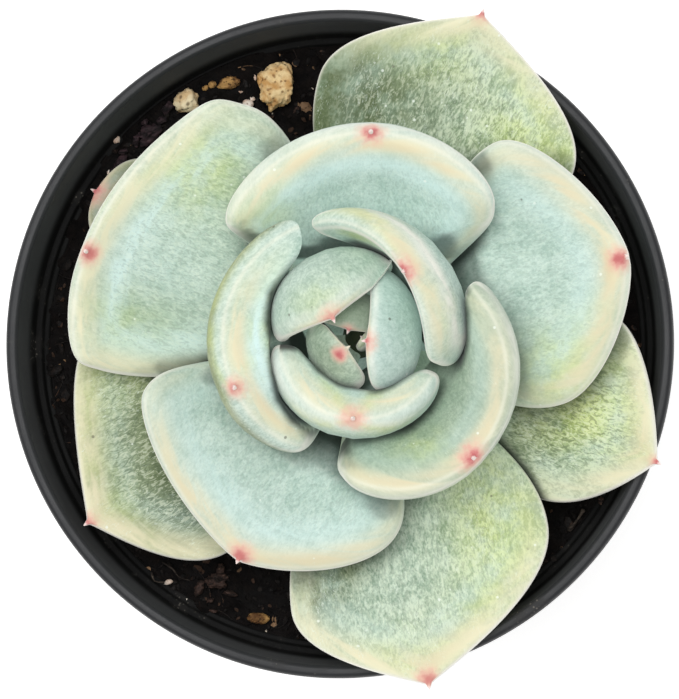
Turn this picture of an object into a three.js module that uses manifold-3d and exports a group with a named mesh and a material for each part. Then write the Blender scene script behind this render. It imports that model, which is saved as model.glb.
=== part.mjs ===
// A potted echeveria: a rosette of fleshy leaves on a short stem, in a round nursery pot of potting mix
// with a few stones, bark chunks and twigs lying on it.
// Millimetres, +Z up. The origin is the centre of the pot's underside.

import * as THREE from "three";
import { mergeVertices } from "three/addons/utils/BufferGeometryUtils.js";
import Module from "manifold-3d";

const wasm = await Module();
wasm.setup();

// Driving dimensions
const RIM_DIAMETER = 90;
const POT_HEIGHT = 76;
const BASE_DIAMETER = 64;
const WALL = 1.2;
const LIP_WIDTH = 1.7;
const COLLAR_HEIGHT = 10;
const SOIL_LEVEL = 64.6;
const STEM_AT = [3.9, 0.2];
const STEM_TOP = 86.8;
const STEM_ROOT = 50;
const GAP = 0.3;
const LEAF_GAP = 0.4;

// Pot: a tapered body, a thicker collar under the lip, and two small step ledges inside
const RIM_R = RIM_DIAMETER / 2;
const BASE_R = BASE_DIAMETER / 2;
const COLLAR_Z = POT_HEIGHT - COLLAR_HEIGHT;
const LEDGE_UPPER = { z: COLLAR_Z, outer: 42.5, inner: 41.6 };
const LEDGE_LOWER = { z: COLLAR_Z - 1.2, outer: 41.5, inner: 40.8 };
const NECK_R = LEDGE_LOWER.inner + WALL;
const FLOOR = 1.5;
const FLOOR_R = BASE_R - WALL;
const DRAIN_HOLES = 5;
const DRAIN_DIAMETER = 7;
const DRAIN_CIRCLE_R = 19;
const POT_SIDES = 60;

// Leaves: the midrib of each leaf is drawn in its own upright plane through the stem's axis, as a curve
// from the base over a hip and a belly to the tip, in [distance from the axis, height]. Each older leaf
// starts one step lower on the stem and further from its axis. Around its midrib a leaf is fuller below
// than above, and it ends in a small point.
const MIDRIB_ROWS = 15;
const SECTION_POINTS = 14;
const LEAF_ROOT = 0.28;
const LOWER_SHARE = 1.2;
const UPPER_SHARE = 0.8;
const UPPER_ROUND = 0.9;
const BLUNTNESS = 3;
const WAIST = 1.35;
const POINT_LENGTH = 1.5;
const POINT_R = 0.62;
const BASE_R_FIRST = 0.4;
const BASE_R_STEP = 0.25;
const BASE_Z_FIRST = 86;
const BASE_Z_STEP = 1;

// Forms of the leaf blade. taper and round shape the tip end, widest is where along the midrib the blade
// is widest, and wrap is how far the half width bends around the midrib, in radians.
const FORMS = {
  bud: { taper: 2.8, round: 0.75, widest: 0.6, wrap: 0.6 },
  heart: { taper: 3.3, round: 0.7, widest: 0.56, wrap: 0.9 },
  cusped: { taper: 2.6, round: 0.8, widest: 0.6, wrap: 1.3 },
  blunt: { taper: 3.6, round: 0.61, widest: 0.61, wrap: 1.32 },
  clasping: { taper: 2, round: 0.86, widest: 0.61, wrap: 1.16 },
  hooded: { taper: 4, round: 0.64, widest: 0.72, wrap: 1.12 },
  round: { taper: 3.3, round: 0.7, widest: 0.63, wrap: 0.95 },
  wide: { taper: 4.2, round: 0.5, widest: 0.68, wrap: 0.6 },
  peaked: { taper: 2.1, round: 1.0, widest: 0.61, wrap: 0.67 },
  flat: { taper: 2.1, round: 1.15, widest: 0.63, wrap: 0.29 },
};

// turn: direction of the leaf in degrees. half: half width. thick: half thickness. inner: how far the
// upper, inner face stands above the midrib. blunt: how late that face slopes down to the tip. waist: how
// much the leaf narrows towards its root. swing: how far the tip leans sideways. lean: how much more of
// the blade lies on the left than on the right. skew: how much further out the blade is widest on the left
// than on the right.
const LEAVES = [
  { form: "bud", turn: 323, hip: [1.2, 87], belly: [1.6, 90], tip: [0.3, 93], half: 1.6, thick: 0.7 },
  { form: "heart", turn: 78, hip: [4.4, 86], belly: [6.4, 92], tip: [-0.4, 96], half: 5.8, thick: 1.1,
    swing: 1.2 },
  { form: "heart", turn: 219, hip: [6, 85], belly: [8, 92], tip: [1.6, 97], half: 5.6, thick: 1.3,
    inner: 1.6, swing: 0.8, lean: -0.06 },
  { form: "heart", turn: 353.5, hip: [7.8, 85], belly: [8.4, 93], tip: [0.8, 98], half: 9, thick: 1.5,
    inner: 2.2, swing: -1, lean: 0.24 },
  { form: "cusped", turn: 121.5, hip: [9.5, 84], belly: [15, 94], tip: [2.3, 98.6], half: 11, thick: 1.9,
    inner: 2.2, blunt: 5, swing: 1.6, lean: -0.08 },
  { form: "blunt", turn: 266, hip: [10, 82], belly: [12, 91], tip: [10.8, 98], half: 13.6, thick: 2.3,
    inner: 5.4, blunt: 9, swing: 0.4, lean: -0.08, skew: 0.02 },
  { form: "hooded", turn: 30.4, hip: [11.2, 82], belly: [15.5, 90], tip: [8.9, 100.6], half: 14.7,
    thick: 2.4, inner: 2.6, blunt: 6, swing: 3.46, lean: 0.18 },
  { form: "clasping", turn: 206, hip: [13, 80], belly: [18.6, 89], tip: [16.9, 98], half: 18, thick: 2.6,
    inner: 7.6, blunt: 12, swing: -0.5, lean: -0.41, skew: 0.02 },
  { form: "blunt", turn: 315, hip: [14, 77], belly: [19.5, 85], tip: [21.8, 95], half: 19.8, thick: 2.6,
    inner: 6, blunt: 9, waist: 0.75, swing: -0.8, lean: 0.16, skew: 0.04 },
  { form: "round", turn: 88.5, hip: [17, 75], belly: [26, 84], tip: [26.2, 93.5], half: 19.8, thick: 2.6,
    inner: 5.4, blunt: 7, swing: -1, lean: 0.08 },
  { form: "peaked", turn: 237, hip: [18, 75], belly: [24.5, 79], tip: [33.8, 86.5], half: 20.4, thick: 2.6,
    inner: 4.4, blunt: 5, swing: 2.4, lean: -0.14, skew: -0.08 },
  { form: "peaked", turn: 12, hip: [18, 73], belly: [32, 78], tip: [36.2, 86.5], half: 18.8, thick: 2.6,
    inner: 4.4, blunt: 5, swing: 3, lean: 0.16 },
  { form: "wide", turn: 160, hip: [18, 73], belly: [38.2, 76], tip: [38.2, 86], half: 20.8, thick: 2.6,
    inner: 4.6, blunt: 5, swing: 1.8, lean: -0.28, skew: 0.08 },
  { form: "flat", turn: 283.5, hip: [16, 73], belly: [33.5, 74], tip: [47, 81.5], half: 18, thick: 2.3,
    swing: -2.4, lean: 0.06, skew: -0.04 },
  { form: "flat", turn: 68.5, hip: [16, 72], belly: [32.5, 74], tip: [46.6, 81], half: 18.4, thick: 2.3,
    swing: 1.2 },
  { form: "flat", turn: 211.5, hip: [16, 71], belly: [34, 71], tip: [45.2, 78], half: 17.6, thick: 2.2,
    swing: 1.4, lean: -0.22 },
  { form: "flat", turn: 341.5, hip: [16, 70], belly: [30.5, 71.5], tip: [42.4, 80], half: 13.4, thick: 2.2,
    swing: -3.4, lean: 0.16, skew: 0.04 },
  { form: "wide", turn: 151, hip: [14, 69], belly: [31, 68.5], tip: [43.6, 70.8], half: 7.6, thick: 1.5,
    lean: -0.1 },
];

// Colours
const POT_BLACK = "#1d1e20";
const MIX_BROWN = "#17110d";
const STEM_GREEN = "#8d9a6a";
const BARK_DARK = "#2c2226";
const PUMICE_TAN = "#d6a66a";
const PUMICE_CREAM = "#e2cfa8";
const WOOD_BROWN = "#5a3c26";
const TWIG_GREY = "#4c463e";
const LEAF_COLOURS = { heart: "#9fc4b4", inner: "#a9cbbb", middle: "#b4d0b8", outer: "#a3b487" };
const FIRST_INNER = 5;
const FIRST_MIDDLE = 10;
const FIRST_OUTER = 14;

// A closed mesh as a solid that can be joined and cut
function solidOf(geometry) {
  const bare = geometry.clone();
  bare.deleteAttribute("normal");
  bare.deleteAttribute("uv");
  const welded = mergeVertices(bare, 1e-4);
  const corners = welded.index.array;
  const kept = [];
  for (let i = 0; i < corners.length; i += 3) {
    const [a, b, c] = corners.slice(i, i + 3);
    if (a !== b && b !== c && c !== a) kept.push(a, b, c);
  }
  return new wasm.Manifold(new wasm.Mesh({
    numProp: 3,
    vertProperties: new Float32Array(welded.attributes.position.array),
    triVerts: new Uint32Array(kept),
  }));
}

// The largest single body of a solid, as a three.js geometry
function geometryOf(solid) {
  const bodies = solid.decompose().sort((a, b) => b.volume() - a.volume());
  const mesh = bodies[0].getMesh();
  const geometry = new THREE.BufferGeometry();
  geometry.setAttribute("position", new THREE.BufferAttribute(mesh.vertProperties, 3));
  geometry.setIndex(new THREE.BufferAttribute(mesh.triVerts, 1));
  geometry.computeVertexNormals();
  return geometry;
}

function meshed(name, solid, colour, roughness) {
  const material = new THREE.MeshStandardMaterial({ color: colour, roughness, metalness: 0 });
  const mesh = new THREE.Mesh(geometryOf(solid), material);
  mesh.name = name;
  return mesh;
}

// A turned solid about +Z from a profile in [radius, height] that starts and ends on the axis
function turned(profile, sides) {
  const points = profile.map(([r, z]) => new THREE.Vector2(r, z));
  return new THREE.LatheGeometry(points, sides).rotateX(Math.PI / 2);
}

// A closed grid: rings of points from one end to the other, each end closed to the ring's middle
function ringSolid(rings) {
  const around = rings[0].length;
  const middle = (ring) => ring.reduce((sum, p) => sum.add(p), new THREE.Vector3()).divideScalar(around);
  const points = [...rings.flat(), middle(rings[0]), middle(rings[rings.length - 1])];
  const first = rings.length * around;
  const last = first + 1;
  const faces = [];
  for (let i = 0; i < around; i++) {
    const j = (i + 1) % around;
    faces.push(first, j, i);
    for (let row = 0; row + 1 < rings.length; row++) {
      const low = row * around;
      const high = low + around;
      faces.push(low + i, low + j, high + j, low + i, high + j, high + i);
    }
    faces.push(last, (rings.length - 1) * around + i, (rings.length - 1) * around + j);
  }
  const geometry = new THREE.BufferGeometry().setFromPoints(points);
  geometry.setIndex(faces);
  return solidOf(geometry);
}

// Pot
function potSolid() {
  const lip = RIM_R - LIP_WIDTH;
  const profile = [
    [0, 0], [BASE_R - 0.8, 0], [BASE_R, 0.8],
    [NECK_R, COLLAR_Z - 1.6], [RIM_R - 0.4, COLLAR_Z],
    [RIM_R, POT_HEIGHT - 0.9], [RIM_R - 0.25, POT_HEIGHT - 0.25], [RIM_R - 0.6, POT_HEIGHT],
    [lip + 0.3, POT_HEIGHT], [lip, POT_HEIGHT - 0.4],
    [LEDGE_UPPER.outer, LEDGE_UPPER.z], [LEDGE_UPPER.inner, LEDGE_UPPER.z],
    [LEDGE_LOWER.outer, LEDGE_LOWER.z], [LEDGE_LOWER.inner, LEDGE_LOWER.z],
    [FLOOR_R, FLOOR], [0, FLOOR],
  ];
  let pot = solidOf(turned(profile, POT_SIDES));
  for (let i = 0; i < DRAIN_HOLES; i++) {
    const angle = (i / DRAIN_HOLES) * 2 * Math.PI;
    const hole = new THREE.CylinderGeometry(DRAIN_DIAMETER / 2, DRAIN_DIAMETER / 2, 4 * FLOOR, 16);
    hole.rotateX(Math.PI / 2);
    hole.translate(DRAIN_CIRCLE_R * Math.cos(angle), DRAIN_CIRCLE_R * Math.sin(angle), 0);
    pot = pot.subtract(solidOf(hole));
  }
  return pot;
}

// Stem: its root end stands in the mix, its top carries the heart leaves
function stemSolid(grow = 0) {
  const profile = [
    [0, STEM_ROOT - grow], [1.6 + grow, STEM_ROOT + 1 - grow], [3.8 + grow, STEM_ROOT + 7],
    [4.6 + grow, SOIL_LEVEL], [4.4 + grow, 70], [3.6 + grow, 78], [2.4 + grow, 84],
    [1.2 + grow, STEM_TOP - 0.5 + grow], [0, STEM_TOP + grow],
  ];
  return solidOf(turned(profile, 20).translate(STEM_AT[0], STEM_AT[1], 0));
}

const power = (value, exponent) => Math.sign(value) * Math.abs(value) ** exponent;
const clamped = (value) => Math.min(Math.max(value, 0), 1);

// Half width of a leaf at a fraction of its midrib, on its left (1) or right (-1) hand: a narrow root,
// the blade and the small end point
function halfWidth(leaf, along, length, hand) {
  const form = FORMS[leaf.form];
  const widest = form.widest + hand * (leaf.skew ?? 0);
  const bladeEnd = 1 - 0.55 * POINT_LENGTH / length;
  const pointR = POINT_R * leaf.half / (leaf.half + 1.5);
  const outward = clamped((along - widest) / (bladeEnd - widest));
  const inward = Math.sin(Math.PI / 2 * clamped(along / widest)) ** (leaf.waist ?? WAIST);
  const share = along < widest ? LEAF_ROOT + (1 - LEAF_ROOT) * inward
    : (1 - outward ** form.taper) ** form.round;
  const point = pointR * Math.min((1 - along) * length / POINT_LENGTH, 1) ** 0.8;
  return (1 + hand * (leaf.lean ?? 0)) * Math.hypot((leaf.half * share) ** 2, point ** 2) ** 0.5;
}

// Half thickness of a leaf: thin at the root, full in the middle and rounded off at the tip
function halfThickness(leaf, along, length) {
  const bladeEnd = 1 - 0.55 * POINT_LENGTH / length;
  const pointR = 0.9 * POINT_R * leaf.half / (leaf.half + 1.5);
  const root = 1 - 0.4 * clamped(1 - along / 0.35) ** 2;
  const swell = 0.66 + 0.34 * Math.sin(Math.PI * along ** 0.85);
  const end = (1 - clamped((along - 0.5) / (bladeEnd - 0.5)) ** 7) ** 0.5;
  const point = pointR * Math.min((1 - along) * length / POINT_LENGTH, 1) ** 0.8;
  return Math.hypot((leaf.thick * root * swell * end) ** 2, point ** 2) ** 0.5;
}

// Height of a leaf's upper, inner face above the midrib
function innerHeight(leaf, along, length) {
  const bladeEnd = 1 - 0.55 * POINT_LENGTH / length;
  const pointR = 0.9 * POINT_R * leaf.half / (leaf.half + 1.5);
  const full = leaf.inner ?? UPPER_SHARE * leaf.thick;
  const root = 1 - 0.4 * clamped(1 - along / 0.35) ** 2;
  const swell = 0.66 + 0.34 * Math.sin(Math.PI * along ** 0.85);
  const slope = clamped((along - 0.4) / (bladeEnd - 0.4)) ** (leaf.blunt ?? BLUNTNESS);
  const point = pointR * Math.min((1 - along) * length / POINT_LENGTH, 1) ** 0.8;
  return Math.hypot((full * root * swell * (1 - slope) ** 0.6) ** 2, point ** 2) ** 0.5;
}

// A leaf as a solid. Its number counts from the heart outwards.
function leafSolid(leaf, number, grow = 0) {
  const base = [BASE_R_FIRST + BASE_R_STEP * number, BASE_Z_FIRST - BASE_Z_STEP * number];
  const midrib = new THREE.CubicBezierCurve(
    ...[base, leaf.hip, leaf.belly, leaf.tip].map(([r, z]) => new THREE.Vector2(r, z)),
  );
  const length = midrib.getLength();
  const bend = leaf.half / FORMS[leaf.form].wrap;
  const turn = THREE.MathUtils.degToRad(leaf.turn);
  const out = new THREE.Vector3(Math.cos(turn), Math.sin(turn), 0);
  const side = new THREE.Vector3(-Math.sin(turn), Math.cos(turn), 0);
  const rings = [];
  for (let row = 0; row < MIDRIB_ROWS; row++) {
    const s = row / (MIDRIB_ROWS - 1);
    const along = 0.45 * s + 0.55 * (1 - (1 - s) ** 1.9);
    const place = midrib.getPointAt(along);
    const run = midrib.getTangentAt(along);
    const face = out.clone().multiplyScalar(-run.y).setZ(run.x);
    const centre = out.clone().multiplyScalar(place.x).setZ(place.y);
    centre.addScaledVector(side, (leaf.swing ?? 0) * along ** 1.6);
    const stretch = grow * (2 * along - 1);
    centre.addScaledVector(out, stretch * run.x).add(new THREE.Vector3(0, 0, stretch * run.y));
    const left = halfWidth(leaf, along, length, 1) + grow;
    const right = halfWidth(leaf, along, length, -1) + grow;
    const thick = halfThickness(leaf, along, length) + grow;
    const inner = innerHeight(leaf, along, length) + grow;
    rings.push(leafSection(centre, face, side, { left, right, thick, inner, bend }));
  }
  return ringSolid(rings).translate([STEM_AT[0], STEM_AT[1], 0]);
}

// One cross-section of a leaf, bent around the midrib so that its margins rise
function leafSection(centre, face, side, { left, right, thick, inner, bend }) {
  const ring = [];
  for (let i = 0; i < SECTION_POINTS; i++) {
    const angle = 2 * Math.PI * i / SECTION_POINTS;
    const across = power(Math.cos(angle), 0.78);
    const depth = Math.sin(angle);
    const height = depth > 0 ? inner * depth ** UPPER_ROUND
      : -LOWER_SHARE * thick * Math.abs(depth) ** 0.7;
    const curl = across * (across > 0 ? left : right) / bend;
    const point = centre.clone().addScaledVector(side, bend * Math.sin(curl));
    point.addScaledVector(face, bend * (1 - Math.cos(curl)));
    point.addScaledVector(face, height * Math.cos(curl)).addScaledVector(side, -height * Math.sin(curl));
    ring.push(point);
  }
  return ring;
}

function leafColour(number) {
  if (number < FIRST_INNER) return LEAF_COLOURS.heart;
  if (number < FIRST_MIDDLE) return LEAF_COLOURS.inner;
  return number < FIRST_OUTER ? LEAF_COLOURS.middle : LEAF_COLOURS.outer;
}

// Mix surface: mounded a little around the stem, heaped against the wall in one direction, and crumbly
const HEAP = { direction: 122, spread: 28, height: 2.2, from: 30, full: 40 };
const MOUND = { height: 0.8, radius: 40 };
const CRUMB_HEIGHT = 0.16;
const MIX_RINGS = [44, 41.3, 38.5, 35.5, 32, 28, 22, 14, 7, 3];
const MIX_SPOKES = 44;

function mixHeight(x, y) {
  const r = Math.hypot(x, y);
  const away = (THREE.MathUtils.radToDeg(Math.atan2(y, x)) - HEAP.direction) / HEAP.spread;
  const heap = HEAP.height * Math.exp(-away * away) * THREE.MathUtils.smoothstep(r, HEAP.from, HEAP.full);
  const mound = MOUND.height * Math.max(1 - r / MOUND.radius, 0);
  const crumbs = Math.sin(1.3 * x + 0.5 * y) + Math.sin(1.7 * y - 0.6 * x + 1) + Math.sin(0.9 * (x + y) + 2);
  return SOIL_LEVEL + heap + mound + CRUMB_HEIGHT * crumbs;
}

// Mix: fills the pot up to its surface, clear of the wall, the ledges and the stem's root end
function mixSolid(stem, lying) {
  const filling = turned([
    [0, FLOOR + GAP], [FLOOR_R - GAP, FLOOR + GAP],
    [LEDGE_LOWER.inner - GAP, LEDGE_LOWER.z + GAP], [LEDGE_LOWER.outer - GAP, LEDGE_LOWER.z + GAP],
    [LEDGE_UPPER.inner - GAP, LEDGE_UPPER.z + GAP], [LEDGE_UPPER.outer - GAP, LEDGE_UPPER.z + GAP],
    [LEDGE_UPPER.outer - GAP, POT_HEIGHT], [0, POT_HEIGHT],
  ], POT_SIDES);
  const rings = [];
  for (const r of MIX_RINGS) {
    const ring = [];
    for (let i = 0; i < MIX_SPOKES; i++) {
      const angle = 2 * Math.PI * i / MIX_SPOKES;
      const [x, y] = [r * Math.cos(angle), r * Math.sin(angle)];
      ring.push(new THREE.Vector3(x, y, mixHeight(x, y)));
    }
    rings.push(ring);
  }
  const under = rings[0].map((p) => new THREE.Vector3(p.x, p.y, -FLOOR));
  const ground = ringSolid([under, ...rings]);
  const mix = solidOf(filling).intersect(ground).subtract(stem);
  return lying.reduce((solid, piece) => solid.subtract(piece), mix);
}

// A fixed scatter between -1 and 1 for each seed
function scatter(seed) {
  const wave = Math.sin(seed * 127.1 + 311.7) * 43758.5453;
  return 2 * (wave - Math.floor(wave)) - 1;
}

// A broken stone or chunk: a rough ball stretched to its size, partly sunk in the mix
function chunkSolid({ at: [x, y], size, turn = 0, seed, rough = 0.16, sunk = 0.3 }, grow = 0) {
  const bare = new THREE.IcosahedronGeometry(1, 1).deleteAttribute("normal").deleteAttribute("uv");
  const ball = mergeVertices(bare);
  const position = ball.getAttribute("position");
  for (let i = 0; i < position.count; i++) {
    const reach = 1 + rough * scatter(seed + i);
    const [px, py, pz] = [position.getX(i), position.getY(i), position.getZ(i)].map((v, axis) => {
      return v * (reach * size[axis] / 2 + grow);
    });
    position.setXYZ(i, px, py, pz);
  }
  ball.rotateZ(THREE.MathUtils.degToRad(turn));
  ball.translate(x, y, mixHeight(x, y) + size[2] * (0.5 - sunk));
  return solidOf(ball);
}

const CHUNKS = [
  { name: "pumice_large", at: [-9, 35.7], size: [5.4, 6.4, 4], turn: -12, seed: 3, colour: PUMICE_TAN },
  { name: "pumice_small", at: [-21.3, 33.7], size: [3.8, 3.2, 3], turn: 25, seed: 41, rough: 0.12,
    colour: PUMICE_CREAM },
  { name: "bark_large", at: [-26.6, 29.4], size: [5.8, 3.2, 2.6], turn: 42, seed: 77, colour: BARK_DARK },
  { name: "bark_middle", at: [-30.8, 25], size: [3.8, 3.2, 2.4], turn: 55, seed: 95, colour: BARK_DARK },
  { name: "bark_small", at: [-24.1, 32.8], size: [2.2, 2, 2], turn: 20, seed: 120, colour: BARK_DARK },
  { name: "bark_speckled", at: [-16.4, 36.2], size: [5.6, 2.4, 1.8], turn: 12, seed: 140,
    colour: WOOD_BROWN },
  { name: "chip_tan", at: [-13, 33.4], size: [2.2, 2.6, 1.8], turn: -20, seed: 160, colour: PUMICE_TAN },
  { name: "wood_crumb", at: [-17.5, -32.4], size: [6.2, 4.2, 2.8], turn: 18, seed: 181, colour: WOOD_BROWN },
  { name: "grain_tan", at: [-11.6, -37.4], size: [3.2, 1.8, 1.6], turn: -5, seed: 203, colour: PUMICE_TAN },
  { name: "grain_brown", at: [-5, -38.4], size: [2.8, 2.2, 1.8], turn: -30, seed: 233, colour: WOOD_BROWN },
];

// A thin twig along a slightly bent line
function twigSolid({ from, to, thick, bow }, grow = 0) {
  const start = new THREE.Vector3(...from);
  const end = new THREE.Vector3(...to);
  const middle = start.clone().lerp(end, 0.5);
  middle.x += bow;
  const line = new THREE.CatmullRomCurve3([start, middle, end]);
  const round = new THREE.Shape().absarc(0, 0, thick / 2 + grow, 0, 2 * Math.PI);
  return solidOf(new THREE.ExtrudeGeometry(round, { steps: 6, curveSegments: 4, extrudePath: line }));
}

const TWIGS = [
  { name: "twig_right", from: [37.4, 3.4, 65.3], to: [40.5, -1.2, 65.7], thick: 0.9, bow: 0.2 },
  { name: "twig_low", from: [33, -22.4, 65.3], to: [30.8, -25.4, 65.2], thick: 0.8, bow: 0 },
];

// Slivers smaller than this are smoothed away where leaves are cut
const SLIVER = 0.02;

// The plant: each leaf gives way to the younger leaves above it and to the stem
function plantMeshes() {
  const stemCutter = stemSolid(GAP);
  const younger = [];
  const leaves = LEAVES.map((leaf, index) => {
    const number = index + 1;
    let body = leafSolid(leaf, number).subtract(stemCutter);
    for (const cutter of younger) body = body.subtract(cutter);
    younger.push(leafSolid(leaf, number, LEAF_GAP));
    const whole = body.asOriginal().simplify(SLIVER);
    return meshed(`leaf_${String(number).padStart(2, "0")}`, whole, leafColour(number), 0.6);
  });
  return [meshed("stem", stemSolid(), STEM_GREEN, 0.7), ...leaves];
}

const plant = new THREE.Group();
plant.add(...plantMeshes());

const potted = new THREE.Group();
potted.add(meshed("pot", potSolid(), POT_BLACK, 0.5));
const lying = [
  ...CHUNKS.map((chunk) => chunkSolid(chunk, GAP)),
  ...TWIGS.map((twig) => twigSolid(twig, GAP)),
];
potted.add(meshed("potting_mix", mixSolid(stemSolid(GAP), lying), MIX_BROWN, 0.95));
for (const chunk of CHUNKS) potted.add(meshed(chunk.name, chunkSolid(chunk), chunk.colour, 0.85));
for (const twig of TWIGS) potted.add(meshed(twig.name, twigSolid(twig), TWIG_GREY, 0.85));

const echeveria = new THREE.Group();
echeveria.add(potted, plant);
echeveria.updateMatrixWorld(true);

export default echeveria;
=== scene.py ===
import math

import bmesh
import bpy
import numpy as np
from mathutils import Matrix, Vector, noise
from mathutils.bvhtree import BVHTree


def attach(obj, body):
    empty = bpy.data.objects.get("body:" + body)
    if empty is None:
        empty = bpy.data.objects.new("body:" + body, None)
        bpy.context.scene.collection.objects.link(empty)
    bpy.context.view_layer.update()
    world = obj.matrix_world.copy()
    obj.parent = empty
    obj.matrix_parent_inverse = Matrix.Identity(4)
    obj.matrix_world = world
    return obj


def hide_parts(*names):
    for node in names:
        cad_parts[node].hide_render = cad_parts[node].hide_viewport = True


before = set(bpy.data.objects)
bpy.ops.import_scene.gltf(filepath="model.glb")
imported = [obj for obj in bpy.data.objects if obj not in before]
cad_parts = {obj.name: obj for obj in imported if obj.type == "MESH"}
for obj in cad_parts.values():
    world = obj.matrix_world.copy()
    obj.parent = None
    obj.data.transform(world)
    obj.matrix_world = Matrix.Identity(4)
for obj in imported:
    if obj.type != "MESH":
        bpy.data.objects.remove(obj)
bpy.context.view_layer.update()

# A potted echeveria: fleshy powdered leaves round a short stem, in a black nursery pot of dark mix.
# Shapes are worked out in millimetres, with +Z up and the origin in the middle of the pot's underside.
MM = 0.001

# Pot, mix and stem
RIM_R = 45.0
POT_HEIGHT = 76.0
BASE_R = 32.0
LIP_WIDTH = 1.7
COLLAR_Z = 66.0
NECK_R = 42.0
FLOOR = 1.5
FLOOR_R = 30.8
# The two step ledges inside the pot: outer radius, inner radius and height
LEDGE_UPPER = (42.5, 41.6, 66.0)
LEDGE_LOWER = (41.5, 40.8, 64.8)
DRAIN_HOLES, DRAIN_R, DRAIN_CIRCLE_R = 5, 3.5, 19.0
SOIL_LEVEL = 64.6
# Room between the mix and the pot
GAP = 0.3
STEM_AT = (3.9, 0.2)
STEM_PROFILE = [
    (0, 50), (1.6, 51), (3.8, 57), (4.6, 64.6), (4.4, 70), (3.6, 78), (2.4, 84), (1.2, 86.3), (0, 86.8),
]

# Forms of leaf: (taper, round, widest, wrap). taper and round shape the tip end of the blade, widest is
# where it is widest along its midrib, and wrap is how far the half width bends around the midrib, in radians.
FORMS = {
    "bud": (2.8, 0.75, 0.6, 0.6),
    "heart": (3.3, 0.7, 0.56, 0.9),
    "cusped": (2.6, 0.8, 0.6, 1.3),
    "blunt": (3.6, 0.61, 0.61, 1.32),
    "clasping": (2.0, 0.86, 0.61, 1.16),
    "hooded": (4.0, 0.64, 0.72, 1.12),
    "round": (3.3, 0.7, 0.63, 0.95),
    "wide": (4.2, 0.5, 0.68, 0.6),
    "peaked": (2.1, 1.0, 0.61, 0.67),
    "flat": (2.1, 1.15, 0.63, 0.29),
}
# Leaves from the heart outwards. turn: direction of the leaf in degrees. hip, belly and tip: where its
# midrib passes, as (distance from the stem's axis, height). half: half width. thick: half thickness.
# inner: how far the inner face stands above the midrib. blunt: how late that face slopes down to the tip.
# waist: how much the leaf narrows towards its root. swing: how far the tip leans sideways. lean: how much
# more of the blade lies on the left than on the right. skew: how much further out the blade is widest on
# the left than on the right.
LEAVES = [
    dict(form="bud", turn=323, hip=(1.2, 87), belly=(1.6, 90), tip=(0.3, 93), half=1.6, thick=0.7),
    dict(form="heart", turn=78, hip=(4.4, 86), belly=(6.4, 92), tip=(-0.4, 96), half=5.8, thick=1.1,
         swing=1.2),
    dict(form="heart", turn=219, hip=(6, 85), belly=(8, 92), tip=(1.6, 97), half=5.6, thick=1.3, inner=1.6,
         swing=0.8, lean=-0.06),
    dict(form="heart", turn=353.5, hip=(7.8, 85), belly=(8.4, 93), tip=(0.8, 98), half=9, thick=1.5,
         inner=2.2, swing=-1, lean=0.24),
    dict(form="cusped", turn=121.5, hip=(9.5, 84), belly=(15, 94), tip=(2.3, 98.6), half=11, thick=1.9,
         inner=2.2, blunt=5, swing=1.6, lean=-0.08),
    dict(form="blunt", turn=266, hip=(10, 82), belly=(12, 91), tip=(10.8, 98), half=13.6, thick=2.3,
         inner=5.4, blunt=9, swing=0.4, lean=-0.08, skew=0.02),
    dict(form="hooded", turn=30.4, hip=(11.2, 82), belly=(15.5, 90), tip=(8.9, 100.6), half=14.7, thick=2.4,
         inner=2.6, blunt=6, swing=3.46, lean=0.18),
    dict(form="clasping", turn=206, hip=(13, 80), belly=(18.6, 89), tip=(16.9, 98), half=18, thick=2.6,
         inner=7.6, blunt=12, swing=-0.5, lean=-0.41, skew=0.02),
    dict(form="blunt", turn=315, hip=(14, 77), belly=(19.5, 85), tip=(21.8, 95), half=19.8, thick=2.6,
         inner=6, blunt=9, waist=0.75, swing=-0.8, lean=0.16, skew=0.04),
    dict(form="round", turn=88.5, hip=(17, 75), belly=(26, 84), tip=(26.2, 93.5), half=19.8, thick=2.6,
         inner=5.4, blunt=7, swing=-1, lean=0.08),
    dict(form="peaked", turn=237, hip=(18, 75), belly=(24.5, 79), tip=(33.8, 86.5), half=20.4, thick=2.6,
         inner=4.4, blunt=5, swing=2.4, lean=-0.14, skew=-0.08),
    dict(form="peaked", turn=12, hip=(18, 73), belly=(32, 78), tip=(36.2, 86.5), half=18.8, thick=2.6,
         inner=4.4, blunt=5, swing=3, lean=0.16),
    dict(form="wide", turn=160, hip=(18, 73), belly=(38.2, 76), tip=(38.2, 86), half=20.8, thick=2.6,
         inner=4.6, blunt=5, swing=1.8, lean=-0.28, skew=0.08),
    dict(form="flat", turn=283.5, hip=(16, 73), belly=(33.5, 74), tip=(47, 81.5), half=18, thick=2.3,
         swing=-2.4, lean=0.06, skew=-0.04),
    dict(form="flat", turn=68.5, hip=(16, 72), belly=(32.5, 74), tip=(46.6, 81), half=18.4, thick=2.3,
         swing=1.2, lean=0, skew=0),
    dict(form="flat", turn=211.5, hip=(16, 71), belly=(34, 71), tip=(45.2, 78), half=17.6, thick=2.2,
         swing=1.4, lean=-0.22),
    dict(form="flat", turn=341.5, hip=(16, 70), belly=(30.5, 71.5), tip=(42.4, 80), half=13.4, thick=2.2,
         swing=-3.4, lean=0.16, skew=0.04),
    dict(form="wide", turn=151, hip=(14, 69), belly=(31, 68.5), tip=(43.6, 70.8), half=7.6, thick=1.5,
         lean=-0.1),
]
# The small point at the end of a leaf
POINT_LENGTH = 1.5
POINT_R = 0.62
# A leaf's width at its root as a share of its full width, and values for leaves that don't give their own
LEAF_ROOT = 0.28
WAIST = 1.35
BLUNTNESS = 3
INNER_SHARE = 0.8
# Cross-section: how round the margins, the inner face and the outer face are, and how full the outer one is
SIDE_ROUND = 0.78
INNER_ROUND = 0.9
OUTER_ROUND = 0.7
OUTER_SHARE = 1.2
# Room that a leaf leaves to the younger ones, and how thin they may press it
CLEAR = 0.25
THINNEST = 1.0
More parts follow.
